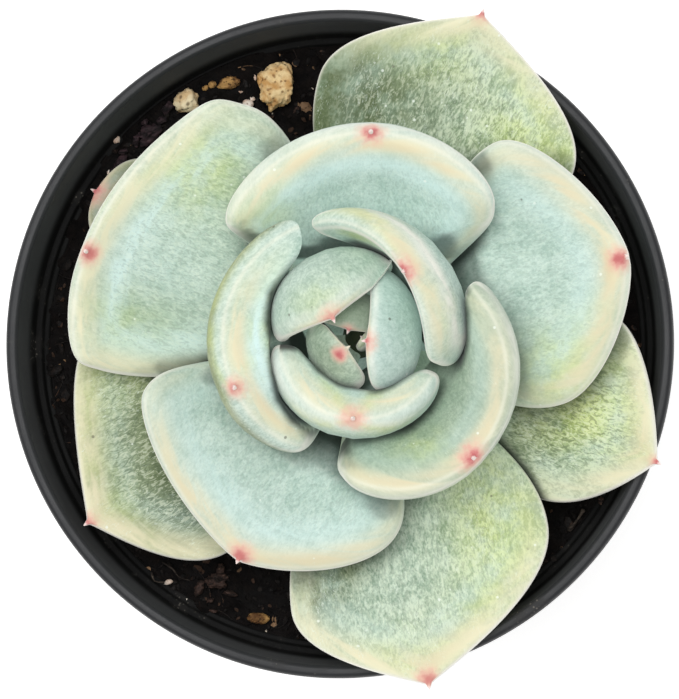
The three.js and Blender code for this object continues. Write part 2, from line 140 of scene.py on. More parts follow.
# The leaves' groups begin with these numbers, the heart with 1
FIRST_INNER, FIRST_MIDDLE, FIRST_OUTER = 5, 10, 14

# How each leaf is coloured. Lengths are in mm, the rest are strengths.
# band: width of the cream band along the margin, shift: how far it lies onto the inner face (or below the
# margin, where less than 0), spread: how far it runs from the tip, blush: how peach it is.
# frost and pale: bluish and white strips inside and outside the band. rim: the thin pale margin line.
# halo: radius of the pink mark at the tip, red: its redness. mark and inner_mark: how far it lies from the
# tip, on the outer or the inner face.
# mottle: how patchy the powder is, bare: how much of it is missing, wrinkle: painted shade and highlight of
# the skin's folds.
# shade: 0 blue-green, 1 olive. dim: painted shade all over the leaf. dusk: an olive outer face that also gets
# painted shade.
# patches: (colour or bare, along, across, reach along, reach across, strength), with along from 0 at the
# root to 1 at the tip, and across from -1 on the right hand to 1 on the left.
FINISH = {
    1: dict(band=0.2, spread=2, blush=0, mottle=0.3, halo=0.5, shade=0.9),
    2: dict(band=0.3, spread=3, blush=0.1, mottle=0.4, halo=1.0, shade=0.6, pale=0.1, bare=0.5, dim=0.3),
    3: dict(band=0.3, spread=3, blush=0.1, mottle=0.5, halo=0.9, mark=1.7, red=0.8, shade=0.5, pale=0.1,
            bare=0.1, dim=0.04, patches=[("olive", 0.8, 0, 0.2, 0.5, 0.3)]),
    4: dict(band=0.5, spread=4, blush=0.3, mottle=0.4, halo=1.5, shade=0.0, pale=0.6),
    5: dict(band=0.8, shift=-0.5, spread=7, blush=0.5, mottle=0.5, halo=1.7, red=0.75, shade=0.2,
            patches=[("yellow", 0.88, 0.1, 0.12, 0.5, 0.4), ("peach", 0.97, 0, 0.06, 0.2, 0.5)]),
    6: dict(band=1.6, shift=1.2, spread=13, blush=0.6, mottle=0.5, halo=1.6, red=0.3, shade=0.0, pale=0.5,
            bare=0.2,
            patches=[("yellow", 0.92, -0.45, 0.12, 0.3, 0.8), ("yellow", 0.92, 0.4, 0.12, 0.28, 0.8)]),
    7: dict(band=1.6, shift=-1.9, spread=14, blush=0.6, mottle=0.55, halo=1.7, shade=0.0, frost=0.1, pale=1.0,
            patches=[("yellow", 0.86, 0.6, 0.14, 0.3, 0.9), ("yellow", 0.86, -0.5, 0.1, 0.3, 0.6)]),
    8: dict(band=1.5, shift=1.5, spread=17, blush=0.8, mottle=0.6, halo=1.4, red=0.8, shade=0.1, dusk=0.9,
            frost=1.0, pale=0.1,
            patches=[("bare", 0.8, -0.4, 0.3, 0.5, 0.3), ("yellow", 0.85, -0.6, 0.15, 0.3, 0.9),
                     ("yellow", 0.8, 0.1, 0.15, 0.3, 0.5)]),
    9: dict(band=1.6, shift=0.4, spread=24, blush=0.8, mottle=0.5, halo=1.8, shade=0.5, frost=0.25, pale=0.7,
            bare=0.5, patches=[("yellow", 0.86, -0.4, 0.12, 0.3, 0.6)]),
    10: dict(band=1.7, shift=1.1, spread=26, blush=0.8, mottle=0.4, halo=1.6, shade=0.0, frost=0.7, pale=0.6,
             patches=[("yellow", 0.7, 0.85, 0.2, 0.2, 0.7)]),
    11: dict(band=2.0, shift=0.8, spread=28, blush=0.7, mottle=0.45, halo=1.5, inner_mark=1.0, red=0.7,
             shade=0.05, frost=0.6, pale=0.5, dim=0.03, patches=[("peach", 0.97, 0, 0.08, 0.25, 0.5)]),
    12: dict(band=2.0, shift=1.4, spread=28, blush=0.9, mottle=0.45, halo=1.4, inner_mark=1.2, red=0.8,
             shade=0.1, frost=0.4, pale=0.7,
             patches=[("yellow", 0.66, -0.8, 0.24, 0.35, 0.9), ("peach", 0.97, 0, 0.08, 0.25, 0.5)]),
    13: dict(wrinkle=0.4, band=2.0, shift=1.3, spread=32, blush=0.2, mottle=0.55, halo=1.3, inner_mark=1.0,
             red=0.7, shade=0.3, frost=0.6, pale=0.5,
             patches=[("yellow", 0.75, -0.65, 0.22, 0.25, 1.0), ("yellow", 0.8, 0.6, 0.2, 0.3, 0.6),
                      ("bare", 0.7, 0.5, 0.3, 0.4, 0.7), ("frost", 0.7, -0.1, 0.2, 0.4, 0.3)]),
    14: dict(wrinkle=0.5, band=2.2, shift=1.0, spread=28, blush=0.3, mottle=0.9, halo=1.4, inner_mark=1.2,
             red=0.6, rim=0.9, shade=0.45,
             patches=[("yellow", 0.6, 0.7, 0.35, 0.35, 1.0), ("olive", 0.62, -0.75, 0.1, 0.25, 1.0),
                      ("olive", 0.55, -0.5, 0.06, 0.2, 0.8), ("yellow", 0.92, -0.2, 0.12, 0.8, 0.8),
                      ("peach", 0.93, 0, 0.1, 0.5, 0.4)]),
    15: dict(wrinkle=0.8, band=2.0, shift=0.8, spread=18, blush=0.1, mottle=1.1, halo=1.5, rim=0.9, shade=0.6,
             dim=0.03,
             patches=[("bare", 0.6, 0.7, 0.3, 0.5, 1.0), ("yellow", 0.66, -0.7, 0.25, 0.4, 1.0),
                      ("olive", 0.55, 0.7, 0.3, 0.6, 1.0), ("yellow", 0.85, 0.4, 0.1, 0.5, 0.9),
                      ("peach", 0.96, 0, 0.1, 0.4, 0.4)]),
    16: dict(wrinkle=1.0, band=2.4, shift=0.8, spread=26, blush=0.5, mottle=1.1, halo=1.6, rim=0.9, shade=1.0,
             bare=0.4, dim=0.05,
             patches=[("olive", 0.6, 0.2, 0.4, 0.9, 1.0), ("bare", 0.6, 0.4, 0.3, 0.6, 0.6),
                      ("yellow", 0.9, 0.1, 0.1, 1.0, 0.7), ("yellow", 0.6, -0.8, 0.3, 0.25, 0.7)]),
    17: dict(wrinkle=1.0, band=2.2, shift=1.0, spread=20, blush=0.3, mottle=1.1, halo=1.3, rim=0.9, shade=0.6,
             patches=[("yellow", 0.75, 0.2, 0.3, 0.7, 1.0), ("olive", 0.5, -0.3, 0.15, 0.6, 0.8),
                      ("peach", 0.95, 0, 0.1, 0.5, 0.4)]),
    18: dict(band=0.6, spread=6, blush=0.6, mottle=0.7, halo=1.9, shade=1.0, bare=0.5, dim=0.15,
             patches=[("olive", 0.85, 0, 0.4, 2.0, 1.0), ("peach", 0.9, 0, 0.3, 1.0, 0.35)]),
}

# The camera looks almost straight down at the rim, tilted by degrees to +X and +Y of it. The rim's width
# and middle are given in pixels of the frame.
VIEW_DISTANCE = 420.0
VIEW_TILT = (4.0, -2.5)
RIM_PIXELS = 671.5
FRAME_WIDTH, FRAME_HEIGHT = 679, 699
RIM_CENTRE_PIXEL = (337.2, 342.1)


def make_camera():
    pixel = 2 * RIM_R / RIM_PIXELS
    aim = Vector((
        (FRAME_WIDTH / 2 - RIM_CENTRE_PIXEL[0]) * pixel,
        -(FRAME_HEIGHT / 2 - RIM_CENTRE_PIXEL[1]) * pixel,
        POT_HEIGHT,
    ))
    back = Vector([math.tan(math.radians(tilt)) for tilt in VIEW_TILT] + [1]).normalized()
    right = (-back).cross(Vector((0, 1, 0))).normalized()
    up = right.cross(-back)
    turn = Matrix((right, up, back)).transposed().to_4x4()
    data = bpy.data.cameras.new("camera")
    data.sensor_width = 36
    data.lens = data.sensor_width * VIEW_DISTANCE / (pixel * max(FRAME_WIDTH, FRAME_HEIGHT))
    data.clip_start, data.clip_end = 0.01, 10
    camera = bpy.data.objects.new("camera", data)
    camera.matrix_world = Matrix.Translation((aim + back * VIEW_DISTANCE) * MM) @ turn
    bpy.context.scene.collection.objects.link(camera)
    bpy.context.scene.camera = camera


make_camera()


# Colours and node trees
def paint(code):
    """A colour written as in print, as the linear values that a shader takes."""
    parts = [int(code[i:i + 2], 16) / 255 for i in (1, 3, 5)]
    return (*[c / 12.92 if c <= 0.04045 else ((c + 0.055) / 1.055) ** 2.4 for c in parts], 1.0)


class Nodes:
    """Adds nodes to one tree. Inputs take a value or another node's output."""

    def __init__(self, tree):
        self.tree = tree

    def add(self, kind, inputs=None, **settings):
        node = self.tree.nodes.new(kind)
        for name, value in settings.items():
            setattr(node, name, value)
        for key, value in (inputs or {}).items():
            if isinstance(value, bpy.types.NodeSocket):
                self.tree.links.new(value, node.inputs[key])
            else:
                node.inputs[key].default_value = value
        return node

    def math(self, operation, a, b=0.0, clamp=False):
        return self.add("ShaderNodeMath", {0: a, 1: b}, operation=operation, use_clamp=clamp).outputs[0]

    def blend(self, share, first, second):
        return self.add("ShaderNodeMix", {0: share, 6: first, 7: second}, data_type="RGBA").outputs[2]

    def tint(self, tone, share, code):
        """Lays one plain colour over a tone where the share is high."""
        return self.blend(share, tone, paint(code))

    def span(self, value, low, high, start=0.0, end=1.0):
        return self.add(
            "ShaderNodeMapRange", {0: value, 1: low, 2: high, 3: start, 4: end},
            interpolation_type="SMOOTHSTEP",
        ).outputs[0]

    def per(self, size):
        """One over a size, which may be another node's output."""
        return self.math("DIVIDE", 1.0, size) if isinstance(size, bpy.types.NodeSocket) else 1 / size

    def noise(self, vector, size, detail=3.0, roughness=0.55, distortion=0.0):
        """Noise with features of about the given size, in the vector's own unit."""
        return self.add("ShaderNodeTexNoise", {
            "Vector": vector, "Scale": self.per(size), "Detail": detail, "Roughness": roughness,
            "Distortion": distortion,
        }).outputs[0]

    def cells(self, vector, size, feature="F1"):
        return self.add("ShaderNodeTexVoronoi", {
            "Vector": vector, "Scale": self.per(size),
        }, feature=feature).outputs

    def stretched(self, vector, scale, angle=0.0):
        return self.add("ShaderNodeMapping", {
            "Vector": vector, "Scale": scale, "Rotation": (0, 0, math.radians(angle)),
        }).outputs[0]

    def field(self, name, kind="Fac"):
        """A value that the mesh carries at its points. Kind Vector gives a place."""
        return self.add("ShaderNodeAttribute", attribute_name=name, attribute_type="GEOMETRY").outputs[kind]

    def object_place(self):
        return self.add("ShaderNodeTexCoord").outputs["Object"]

    def height(self):
        return self.add("ShaderNodeSeparateXYZ", {0: self.object_place()}).outputs[2]

    def group(self, tree, inputs):
        return self.add("ShaderNodeGroup", inputs, node_tree=tree).outputs


def new_group(name, **inputs):
    """A shader node group. Inputs are values by name, or None for a place."""
    tree = bpy.data.node_groups.new(name, "ShaderNodeTree")
    for label, value in inputs.items():
        kind = "NodeSocketVector" if value is None else "NodeSocketFloat"
        socket = tree.interface.new_socket(label.replace("_", " "), in_out="INPUT", socket_type=kind)
        if value is not None:
            socket.default_value = value
    nodes = Nodes(tree)
    return tree, nodes, nodes.add("NodeGroupInput").outputs


def put_out(tree, nodes, **values):
    """Closes a group with its outputs by name."""
    for label in values:
        tree.interface.new_socket(label, in_out="OUTPUT", socket_type="NodeSocketFloat")
    nodes.add("NodeGroupOutput", values)
    return tree


def farina_group():
    """The waxy powder on a leaf: clouds, fine wrinkles and grain, streaks along the margin, rubbed
    scratches, loose white crumbs, tiny dark specks and the folds of the skin."""
    tree, nodes, given = new_group("Farina", Place=None, Along_leaf=None, Inset=0.0, Mottle=0.5)
    where, mottle = given["Place"], given["Mottle"]

    def drawn(scale, angle, size, *noise_values):
        """Noise drawn out across the leaf, in mm."""
        return nodes.noise(nodes.stretched(given["Along leaf"], (*scale, 1), angle), size, *noise_values)

    clouds = nodes.span(nodes.noise(where, 0.0055, 3.0, 0.6), 0.36, 0.64)
    smears = nodes.span(drawn((0.55, 0.9), 12, 1.2, 3.0, 0.65, 1.2), 0.38, 0.62)
    wrinkles = nodes.span(drawn((0.75, 1.3), 25, 0.45, 2.0, 0.7), 0.38, 0.62)
    grain = nodes.span(nodes.noise(where, 0.00034, 2.0, 0.6), 0.36, 0.64)
    powder = nodes.math("MULTIPLY", clouds, 0.26)
    for part, share in ((smears, 0.3), (wrinkles, 0.26), (grain, 0.14)):
        powder = nodes.math("ADD", powder, nodes.math("MULTIPLY", part, share))
    powder = nodes.math("MULTIPLY", nodes.math("SUBTRACT", powder, 0.5), nodes.math("MULTIPLY", mottle, 2.3))
    powder = nodes.math("ADD", 0.6, powder, True)

    inset = nodes.math("DIVIDE", given["Inset"], 1.1)
    shifted = nodes.add("ShaderNodeCombineXYZ", {0: inset}).outputs[0]
    spread = nodes.add("ShaderNodeVectorMath", {0: where, "Scale": 300.0}, operation="SCALE").outputs[0]
    spread = nodes.add("ShaderNodeVectorMath", {0: spread, 1: shifted}, operation="ADD").outputs[0]
    streaks = nodes.span(nodes.noise(spread, 1.6, 3.0, 0.55, 0.5), 0.3, 0.66)

    strokes = nodes.math("MAXIMUM", *[
        nodes.span(drawn((0.5, 1.6), angle, size, 2.0, 0.65, 1.5), 0.6, 0.7)
        for angle, size in ((35, 0.5), (-48, 0.42))
    ])
    strokes = nodes.math("MULTIPLY", strokes, nodes.span(nodes.noise(where, 0.0035), 0.42, 0.62))
    strokes = nodes.math("MULTIPLY", strokes, nodes.span(mottle, 0.1, 0.9))
    crumb = nodes.span(nodes.cells(where, 0.0019)["Distance"], 0.13, 0.07)
    crumb = nodes.math("MULTIPLY", crumb, nodes.span(nodes.noise(where, 0.005, 2.0), 0.57, 0.62))
    speck = nodes.span(nodes.cells(where, 0.0036)["Distance"], 0.075, 0.045)
    speck = nodes.math("MULTIPLY", speck, nodes.span(nodes.noise(where, 0.009, 2.0), 0.58, 0.62))
    folds = nodes.span(drawn((0.5, 1.3), 35, 0.62, 2.0, 0.6, 1.2), 0.32, 0.68)
    return put_out(
        tree, nodes, Powder=powder, Streaks=streaks, Scratches=strokes, Crumbs=crumb, Specks=speck,
        Folds=folds,
    )


def speckle_group():
    """Scattered specks of dust or grit, in patches."""
    tree, nodes, given = new_group("Speckle", Place=None, Speck_size=0.0006, Patch_size=0.006, Amount=0.5)
    dot = nodes.span(nodes.cells(given["Place"], given["Speck size"])["Distance"], 0.3, 0.12)
    cloud = nodes.noise(given["Place"], given["Patch size"], 4.0, 0.65)
    bar = nodes.math("SUBTRACT", 0.75, nodes.math("MULTIPLY", given["Amount"], 0.4))
    patch = nodes.span(cloud, bar, nodes.math("ADD", bar, 0.12))
    return put_out(tree, nodes, Specks=nodes.math("MULTIPLY", dot, patch), Film=patch)


def grit_group():
    """Broken, grainy relief at three sizes, for stones, bark, wood and mix."""
    tree, nodes, given = new_group("Grit", Place=None, Size=0.001)
    where, size = given["Place"], given["Size"]
    coarse = nodes.noise(where, size, 4.0, 0.6)
    fine = nodes.noise(where, nodes.math("DIVIDE", size, 4.0), 3.0, 0.7)
    holes = nodes.cells(where, nodes.math("DIVIDE", size, 1.7), "SMOOTH_F1")
    pits = nodes.span(holes["Distance"], 0.32, 0.12)
    height = nodes.math("ADD", nodes.math("MULTIPLY", coarse, 0.7), nodes.math("MULTIPLY", fine, 0.3))
    height = nodes.math("SUBTRACT", height, nodes.math("MULTIPLY", pits, 0.4))
    return put_out(tree, nodes, Coarse=coarse, Fine=fine, Pits=pits, Height=height)


FARINA = farina_group()
SPECKLE = speckle_group()
GRIT = grit_group()


# Painted glow that the leaves give off as a share of their colour, standing in for light that wanders inside
# the fleshy leaves
LEAF_GLOW = 0.16


def finish(nodes, colour, roughness, height, bump, glow=None, **fixed):
    """Closes a material: its shader takes the colour, roughness and relief, and constants by name. Bump is
    the relief's strength and its depth in metres."""
    normal = nodes.add("ShaderNodeBump", {"Strength": bump[0], "Distance": bump[1], "Height": height})
    shader = nodes.add("ShaderNodeBsdfPrincipled", {
        "Base Color": colour, "Roughness": roughness, "Normal": normal.outputs[0],
    })
    if glow is not None:
        nodes.tree.links.new(glow, shader.inputs["Emission Color"])
    for socket, value in fixed.items():
        shader.inputs[socket.replace("_", " ")].default_value = value
    nodes.add("ShaderNodeOutputMaterial", {0: shader.outputs[0]})


def new_material(name):
    material = bpy.data.materials.new(name)
    material.use_nodes = True
    material.node_tree.nodes.clear()
    return material, Nodes(material.node_tree)


# Leaf material
def leaf_material():
    material, nodes = new_material("powdered leaf")
    where = nodes.object_place()
    farina = nodes.group(FARINA, {
        "Place": where, "Along leaf": nodes.field("leafwise", "Vector"), "Inset": nodes.field("inset"),
        "Mottle": nodes.field("mottle"),
    })
    powder, streaks = farina["Powder"], farina["Streaks"]
    kept = nodes.math("SUBTRACT", 1.0, nodes.math("MULTIPLY", nodes.field("bare"), 0.9))
    powder = nodes.math("MULTIPLY", powder, kept, True)
    drift = nodes.noise(where, 0.003, 3.0, 0.6)

    def broken(name, least):
        """A colour field broken up by the streaks along the margin."""
        share = nodes.math("ADD", least, nodes.math("MULTIPLY", streaks, 1.0 - least))
        return nodes.math("MULTIPLY", nodes.field(name), share, True)

    def patchy(name, strength):
        """A colour field broken up by slow drifts."""
        share = nodes.span(drift, 0.3, 0.6, 0.5, 1.25)
        return nodes.math("MULTIPLY", nodes.math("MULTIPLY", nodes.field(name), share), strength, True)

    shade = nodes.field("shade")
    flesh = nodes.blend(shade, paint("#97b5aa"), paint("#76845a"))
    flesh = nodes.tint(flesh, patchy("olive", 1.0), "#4f5e38")
    bloom = nodes.blend(shade, paint("#cbded6"), paint("#b9c3a0"))
    bloom = nodes.tint(bloom, patchy("olive", 0.85), "#818d66")
    body = nodes.blend(powder, flesh, bloom)
    body = nodes.blend(patchy("yellow", 0.75), body, nodes.blend(powder, paint("#a9b965"), paint("#d0da94")))
    for name, least, colour in (("cream", 0.4, "#e2dfbe"), ("peach", 0.2, "#d6c4a0"),
                                ("frost", 0.5, "#d2ebe8"), ("pale", 0.5, "#eaebe0")):
        body = nodes.tint(body, broken(name, least), colour)
    wrinkled = nodes.field("wrinkle")
    # The skin's folds: painted shade in their creases and painted highlight on their ridges
    painted_crease_shade = nodes.math("MULTIPLY", nodes.span(farina["Folds"], 0.45, 0.05, 0, 0.5), wrinkled)
    painted_ridge_highlight = nodes.math("MULTIPLY", nodes.span(farina["Folds"], 0.6, 0.95, 0, 0.4), wrinkled)
    body = nodes.tint(body, painted_crease_shade, "#4d5c41")
    body = nodes.tint(body, painted_ridge_highlight, "#dfe4cb")
    body = nodes.tint(body, nodes.field("rim"), "#eeeddc")
    for name, strength, colour in (("Scratches", 0.5, "#e3ece0"), ("Crumbs", 0.55, "#f1f6ee"),
                                   ("Specks", 0.6, "#4d4a3a")):
        body = nodes.tint(body, nodes.math("MULTIPLY", farina[name], strength), colour)

    # The pink mark, by its distance from its middle in radii of its halo
    wobble = nodes.math("MULTIPLY", nodes.math("SUBTRACT", nodes.noise(where, 0.0009, 2.0, 0.6), 0.5), 0.9)
    middle = nodes.field("mark", "Vector")
    away = nodes.add("ShaderNodeVectorMath", {0: where, 1: middle}, operation="DISTANCE").outputs[1]
    away = nodes.math("ADD", nodes.math("DIVIDE", away, nodes.field("halo")), wobble)
    red = nodes.field("red")
    body = nodes.tint(body, nodes.span(away, 1.9, 0.6, 0, 0.75), "#e5b9a4")
    for outer, inner, strength, colour in ((1.25, 0.35, 0.85, "#d0797b"), (0.8, 0.1, 0.8, "#b3454f")):
        share = nodes.math("MULTIPLY", nodes.span(away, outer, inner, 0, strength), red)
        body = nodes.tint(body, share, colour)
    body = nodes.tint(body, nodes.field("point"), "#f3dfda")

    # Painted shade darkens the steep faces towards a deep green, and a painted highlight lightens their rims.
    # Hidden parts get painted shadow.
    normal = nodes.add("ShaderNodeNewGeometry").outputs["Normal"]
    level = nodes.math("ABSOLUTE", nodes.add("ShaderNodeSeparateXYZ", {0: normal}).outputs[2])
    body = nodes.tint(body, nodes.span(level, 0.55, 0.15, 0, 0.15), "#5f7f74")
    painted_rim_highlight = nodes.math("MULTIPLY", nodes.field("edge"), nodes.span(level, 0.6, 0.3, 0, 0.85))
    body = nodes.tint(body, painted_rim_highlight, "#f4f1e8")
    # Painted shadow: the darker of the shade from hidden sky and nearby younger leaves, and the painted shade
    # all over
    shadow = nodes.math("MAXIMUM", nodes.field("shadow"), nodes.field("dim"))
    body = nodes.tint(body, nodes.math("MULTIPLY", shadow, 0.95), "#18201c")

    roughness = nodes.math("ADD", 0.48, nodes.math("MULTIPLY", powder, 0.22))
    grain = nodes.noise(where, 0.0004, 1.0, 0.6)
    # The painted glow is the leaf's colour, kept dark where painted shadow lies
    glow = nodes.blend(shadow, body, paint("#000000"))
    finish(
        nodes, body, roughness, grain, (0.35, 0.0001), glow,
        Specular_IOR_Level=0.3, Sheen_Weight=0.12, Sheen_Roughness=0.5, Emission_Strength=LEAF_GLOW,
    )
    return material


def smooth_share(low, high, value):
    t = np.clip((value - low) / (high - low), 0, 1)
    return t * t * (3 - 2 * t)


def signed_power(value, exponent):
    return np.sign(value) * np.abs(value) ** exponent


def bezier(points, t):
    p0, p1, p2, p3 = points
    return (1 - t) ** 3 * p0 + 3 * (1 - t) ** 2 * t * p1 + 3 * (1 - t) * t * t * p2 + t ** 3 * p3


def midrib(leaf, number, shares):
    """Places and directions along a leaf's midrib at shares of its length, and the length."""
    base = (0.4 + 0.25 * number, 86 - number)
    points = [np.array(p, float) for p in (base, leaf["hip"], leaf["belly"], leaf["tip"])]
    t = np.linspace(0, 1, 801)[:, None]
    steps = np.diff(bezier(points, t), axis=0)
    reached = np.concatenate([[0], np.cumsum(np.linalg.norm(steps, axis=1))])
    length = reached[-1]
    t = np.interp(shares * length, reached, t[:, 0])[:, None]
    first, second, third = (b - a for a, b in zip(points, points[1:]))
    run = (1 - t) ** 2 * first + 2 * (1 - t) * t * second + t * t * third
    return bezier(points, t), run / np.linalg.norm(run, axis=1)[:, None], length


def blade_end(length):
    """Share of the midrib at which the blade gives way to the small end point."""
    return 1 - 0.55 * POINT_LENGTH / length


def with_point(reach, leaf, along, length, share=1.0):
    """Adds the small end point to the blade's reach."""
    point_r = share * POINT_R * leaf["half"] / (leaf["half"] + 1.5)
    point = point_r * np.minimum((1 - along) * length / POINT_LENGTH, 1) ** 0.8
    return (reach ** 4 + point ** 4) ** 0.25


def half_width(leaf, along, length, hand):
    """Half width on the leaf's left (1) or right (-1) hand."""
    taper, rounding, widest, _ = FORMS[leaf["form"]]
    widest = widest + hand * leaf.get("skew", 0)
    outward = np.clip((along - widest) / (blade_end(length) - widest), 0, 1)
    inward = np.sin(np.pi / 2 * np.clip(along / widest, 0, 1)) ** leaf.get("waist", WAIST)
    root = LEAF_ROOT + (1 - LEAF_ROOT) * inward
    share = np.where(along < widest, root, (1 - outward ** taper) ** rounding)
    return (1 + hand * leaf.get("lean", 0)) * with_point(leaf["half"] * share, leaf, along, length)


def face_height(leaf, along, length, full, slope_from, blunt, rounding):
    """How far a face of the leaf stands off the midrib: thin at the root, full in the middle and sloping
    down to the tip."""
    root = 1 - 0.4 * np.clip(1 - along / 0.35, 0, 1) ** 2
    swell = 0.66 + 0.34 * np.sin(np.pi * along ** 0.85)
    slope = np.clip((along - slope_from) / (blade_end(length) - slope_from), 0, 1)
    reach = full * root * swell * (1 - slope ** blunt) ** rounding
    return with_point(reach, leaf, along, length, 0.9)


def leaf_grid(leaf, number, rows, quarter):
    """A leaf's surface as rows of rings, with where each point lies along and across the leaf."""
    s = np.linspace(0, 1, rows)
    along = 0.45 * s + 0.55 * (1 - (1 - s) ** 1.9)
    place, run, length = midrib(leaf, number, along)
    turn = math.radians(leaf["turn"])
    out = np.array([math.cos(turn), math.sin(turn), 0])
    side = np.array([-math.sin(turn), math.cos(turn), 0])
    up = np.array([0, 0, 1.0])
    face = -run[:, 1:] * out + run[:, :1] * up
    centre = place[:, :1] * out + place[:, 1:] * up + (leaf.get("swing", 0) * along ** 1.6)[:, None] * side
    bend = leaf["half"] / FORMS[leaf["form"]][3]
    left, right = (half_width(leaf, along, length, hand) for hand in (1, -1))
    thick = face_height(leaf, along, length, leaf["thick"], 0.5, 7, 0.5)
    full = leaf.get("inner", INNER_SHARE * leaf["thick"])
    inner = face_height(leaf, along, length, full, 0.4, leaf.get("blunt", BLUNTNESS), 0.6)
    # Points lie closer together at the margins than on the faces
    step = (np.arange(quarter) / quarter) ** 1.5 * np.pi / 2
    angle = np.concatenate([step, np.pi - step[::-1], np.pi + step[1:], 2 * np.pi - step[:0:-1]])
    angle = np.unique(np.round(np.concatenate([angle, [np.pi / 2, 3 * np.pi / 2]]), 9))
    across = signed_power(np.cos(angle), SIDE_ROUND)[None, :]
    depth = np.sin(angle)[None, :]
    # Each leaf is a little uneven in its own way
    wave = 0.03 * np.sin(2.1 * number + 5.3 * along[:, None] + 3.1 * across)
    wave = wave + 0.02 * np.sin(number + 11 * along[:, None] - 7 * across)
    above = inner[:, None] * np.abs(depth) ** INNER_ROUND
    below = -OUTER_SHARE * thick[:, None] * np.abs(depth) ** OUTER_ROUND
    height = np.where(depth > 0, above, below) * (1 + wave)
    width = np.where(across > 0, left[:, None], right[:, None])
    curl = across * width / bend
    points = centre[:, None, :] + (bend * np.sin(curl) - height * np.sin(curl))[..., None] * side
    points = points + (bend * (1 - np.cos(curl)) + height * np.cos(curl))[..., None] * face[:, None, :]
    points = points + np.array([STEM_AT[0], STEM_AT[1], 0])
    shape = height.shape
    return dict(
        points=points, along=np.broadcast_to(along[:, None], shape), across=np.broadcast_to(across, shape),
        upper=np.broadcast_to(np.sign(depth), shape), length=length, face=face,
    )


def way_clear(start, down, younger):
    """How far a point has to move down until it is clear of the younger leaves."""
    moved = 0.0
    for _ in range(3):
        place = start + down * moved
        more = 0.0
        for tree in younger:
            near, normal, _, distance = tree.find_nearest(place, 12)
            if near is None:
                continue
            if (place - near).dot(normal) < 0:
                hit, _, _, length = tree.ray_cast(place, down, 30)
                if hit is not None:
                    more = max(more, length + CLEAR)
            elif distance < CLEAR:
                more = max(more, CLEAR - distance + 0.02)
        if more == 0:
            break
        moved += more
    return moved


def press_back(grid, younger):
    """Moves the leaf's inner face back from the younger leaves that lie against it, and its outer face
    with it where the leaf would get too thin."""
    points, face = grid["points"], grid["face"]
    rows, around, _ = points.shape
    half = around // 2
    need = np.zeros((rows, half + 1))
    for row in range(rows):
        down = Vector(-face[row])
        for i in range(half + 1):
            need[row, i] = way_clear(Vector(points[row, i]), down, younger)
    soft = need.copy()
    for _ in range(6):
        wide = np.pad(soft, 1, mode="edge")
        mean = sum(wide[a:a + rows, b:b + half + 1] for a in range(3) for b in range(3)) / 9
        soft = np.maximum(need, mean)
    mirror = np.arange(around)
    mirror = np.where(mirror <= half, mirror, around - mirror)
    push = soft[:, mirror]
    depth = np.linalg.norm(points - points[:, mirror], axis=2)
    lower = np.arange(around) > half
    push = np.where(lower[None, :], np.maximum(push - np.maximum(depth - THINNEST, 0), 0), push)
    grid["points"] = points - push[..., None] * face[:, None, :]


def closed_rings(grid):
    """Vertices and faces of a grid of rings, with its two ends closed to a point."""
    rows, around, _ = grid.shape
    ends = [grid[0].mean(axis=0), grid[-1].mean(axis=0)]
    vertices = np.concatenate([grid.reshape(-1, 3), ends])
    first, last = rows * around, rows * around + 1
    faces = []
    for i in range(around):
        j = (i + 1) % around
        faces.append((first, j, i))
        for row in range(rows - 1):
            low, high = row * around, (row + 1) * around
            faces.append((low + i, low + j, high + j, high + i))
        faces.append((last, (rows - 1) * around + i, (rows - 1) * around + j))
    return vertices, faces


def new_piece(name, vertices, faces, material, sharp=None):
    """A mesh object at the origin from points in millimetres, smooth shaded."""
    mesh = bpy.data.meshes.new(name)
    mesh.from_pydata([tuple(v) for v in np.asarray(vertices) * MM], [], faces)
    mesh.materials.append(material)
    mesh.update()
    mesh.shade_smooth()
    if sharp:
        mesh.set_sharp_from_angle(angle=math.radians(sharp))
    piece = bpy.data.objects.new(name, mesh)
    bpy.context.scene.collection.objects.link(piece)
    return piece


def seat(piece, slot, *nodes):
    """Hands a finished piece over, with the nodes that it stands for."""
    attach(piece, "root")
    if nodes:
        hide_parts(*nodes)


def distances(points, line):
    """Distance of each point from a dense line of points."""
    near = np.full(len(points), np.inf)
    for start in range(0, len(points), 2000):
        part = points[start:start + 2000]
        gap = np.linalg.norm(part[:, None, :] - line[None, :, :], axis=2)
        near[start:start + 2000] = gap.min(axis=1)
    return near


def add_field(mesh, name, values):
    attribute = mesh.attributes.new(name, "FLOAT", "POINT")
    attribute.data.foreach_set("value", np.asarray(values, np.float32))


def add_places(mesh, name, places):
    attribute = mesh.attributes.new(name, "FLOAT_VECTOR", "POINT")
    attribute.data.foreach_set("vector", np.asarray(places, np.float32).ravel())


def sky_direction(turn, height):
    turn, height = math.radians(turn), math.radians(height)
    return math.cos(turn) * math.cos(height), math.sin(turn) * math.cos(height), math.sin(height)


# How far away a younger leaf still lays painted shadow on a point by its nearness
NEAR_REACH = 3
# Directions in which the sky is looked for: rings from low to high, then straight up. Each ring has its
# height in degrees, the number of directions in it and the turn of the first.
SKY_RINGS = ((12, 8, 0), (35, 7, 20), (60, 5, 45))
SKY = [
    sky_direction(turn, height)
    for height, count, first in SKY_RINGS for turn in np.arange(count) * 360 / count + first
] + [(0, 0, 1)]


def shading_tree(number):
    """The younger leaves, coarsely, as one tree of faces."""
    vertices, faces = [], []
    for k in range(1, number):
        grid = leaf_grid(LEAVES[k - 1], k, 32, 6)
        own, own_faces = closed_rings(grid["points"])
        faces += [[i + len(vertices) for i in face] for face in own_faces]
        vertices += [Vector(v) for v in own]
    return BVHTree.FromPolygons(vertices, faces)


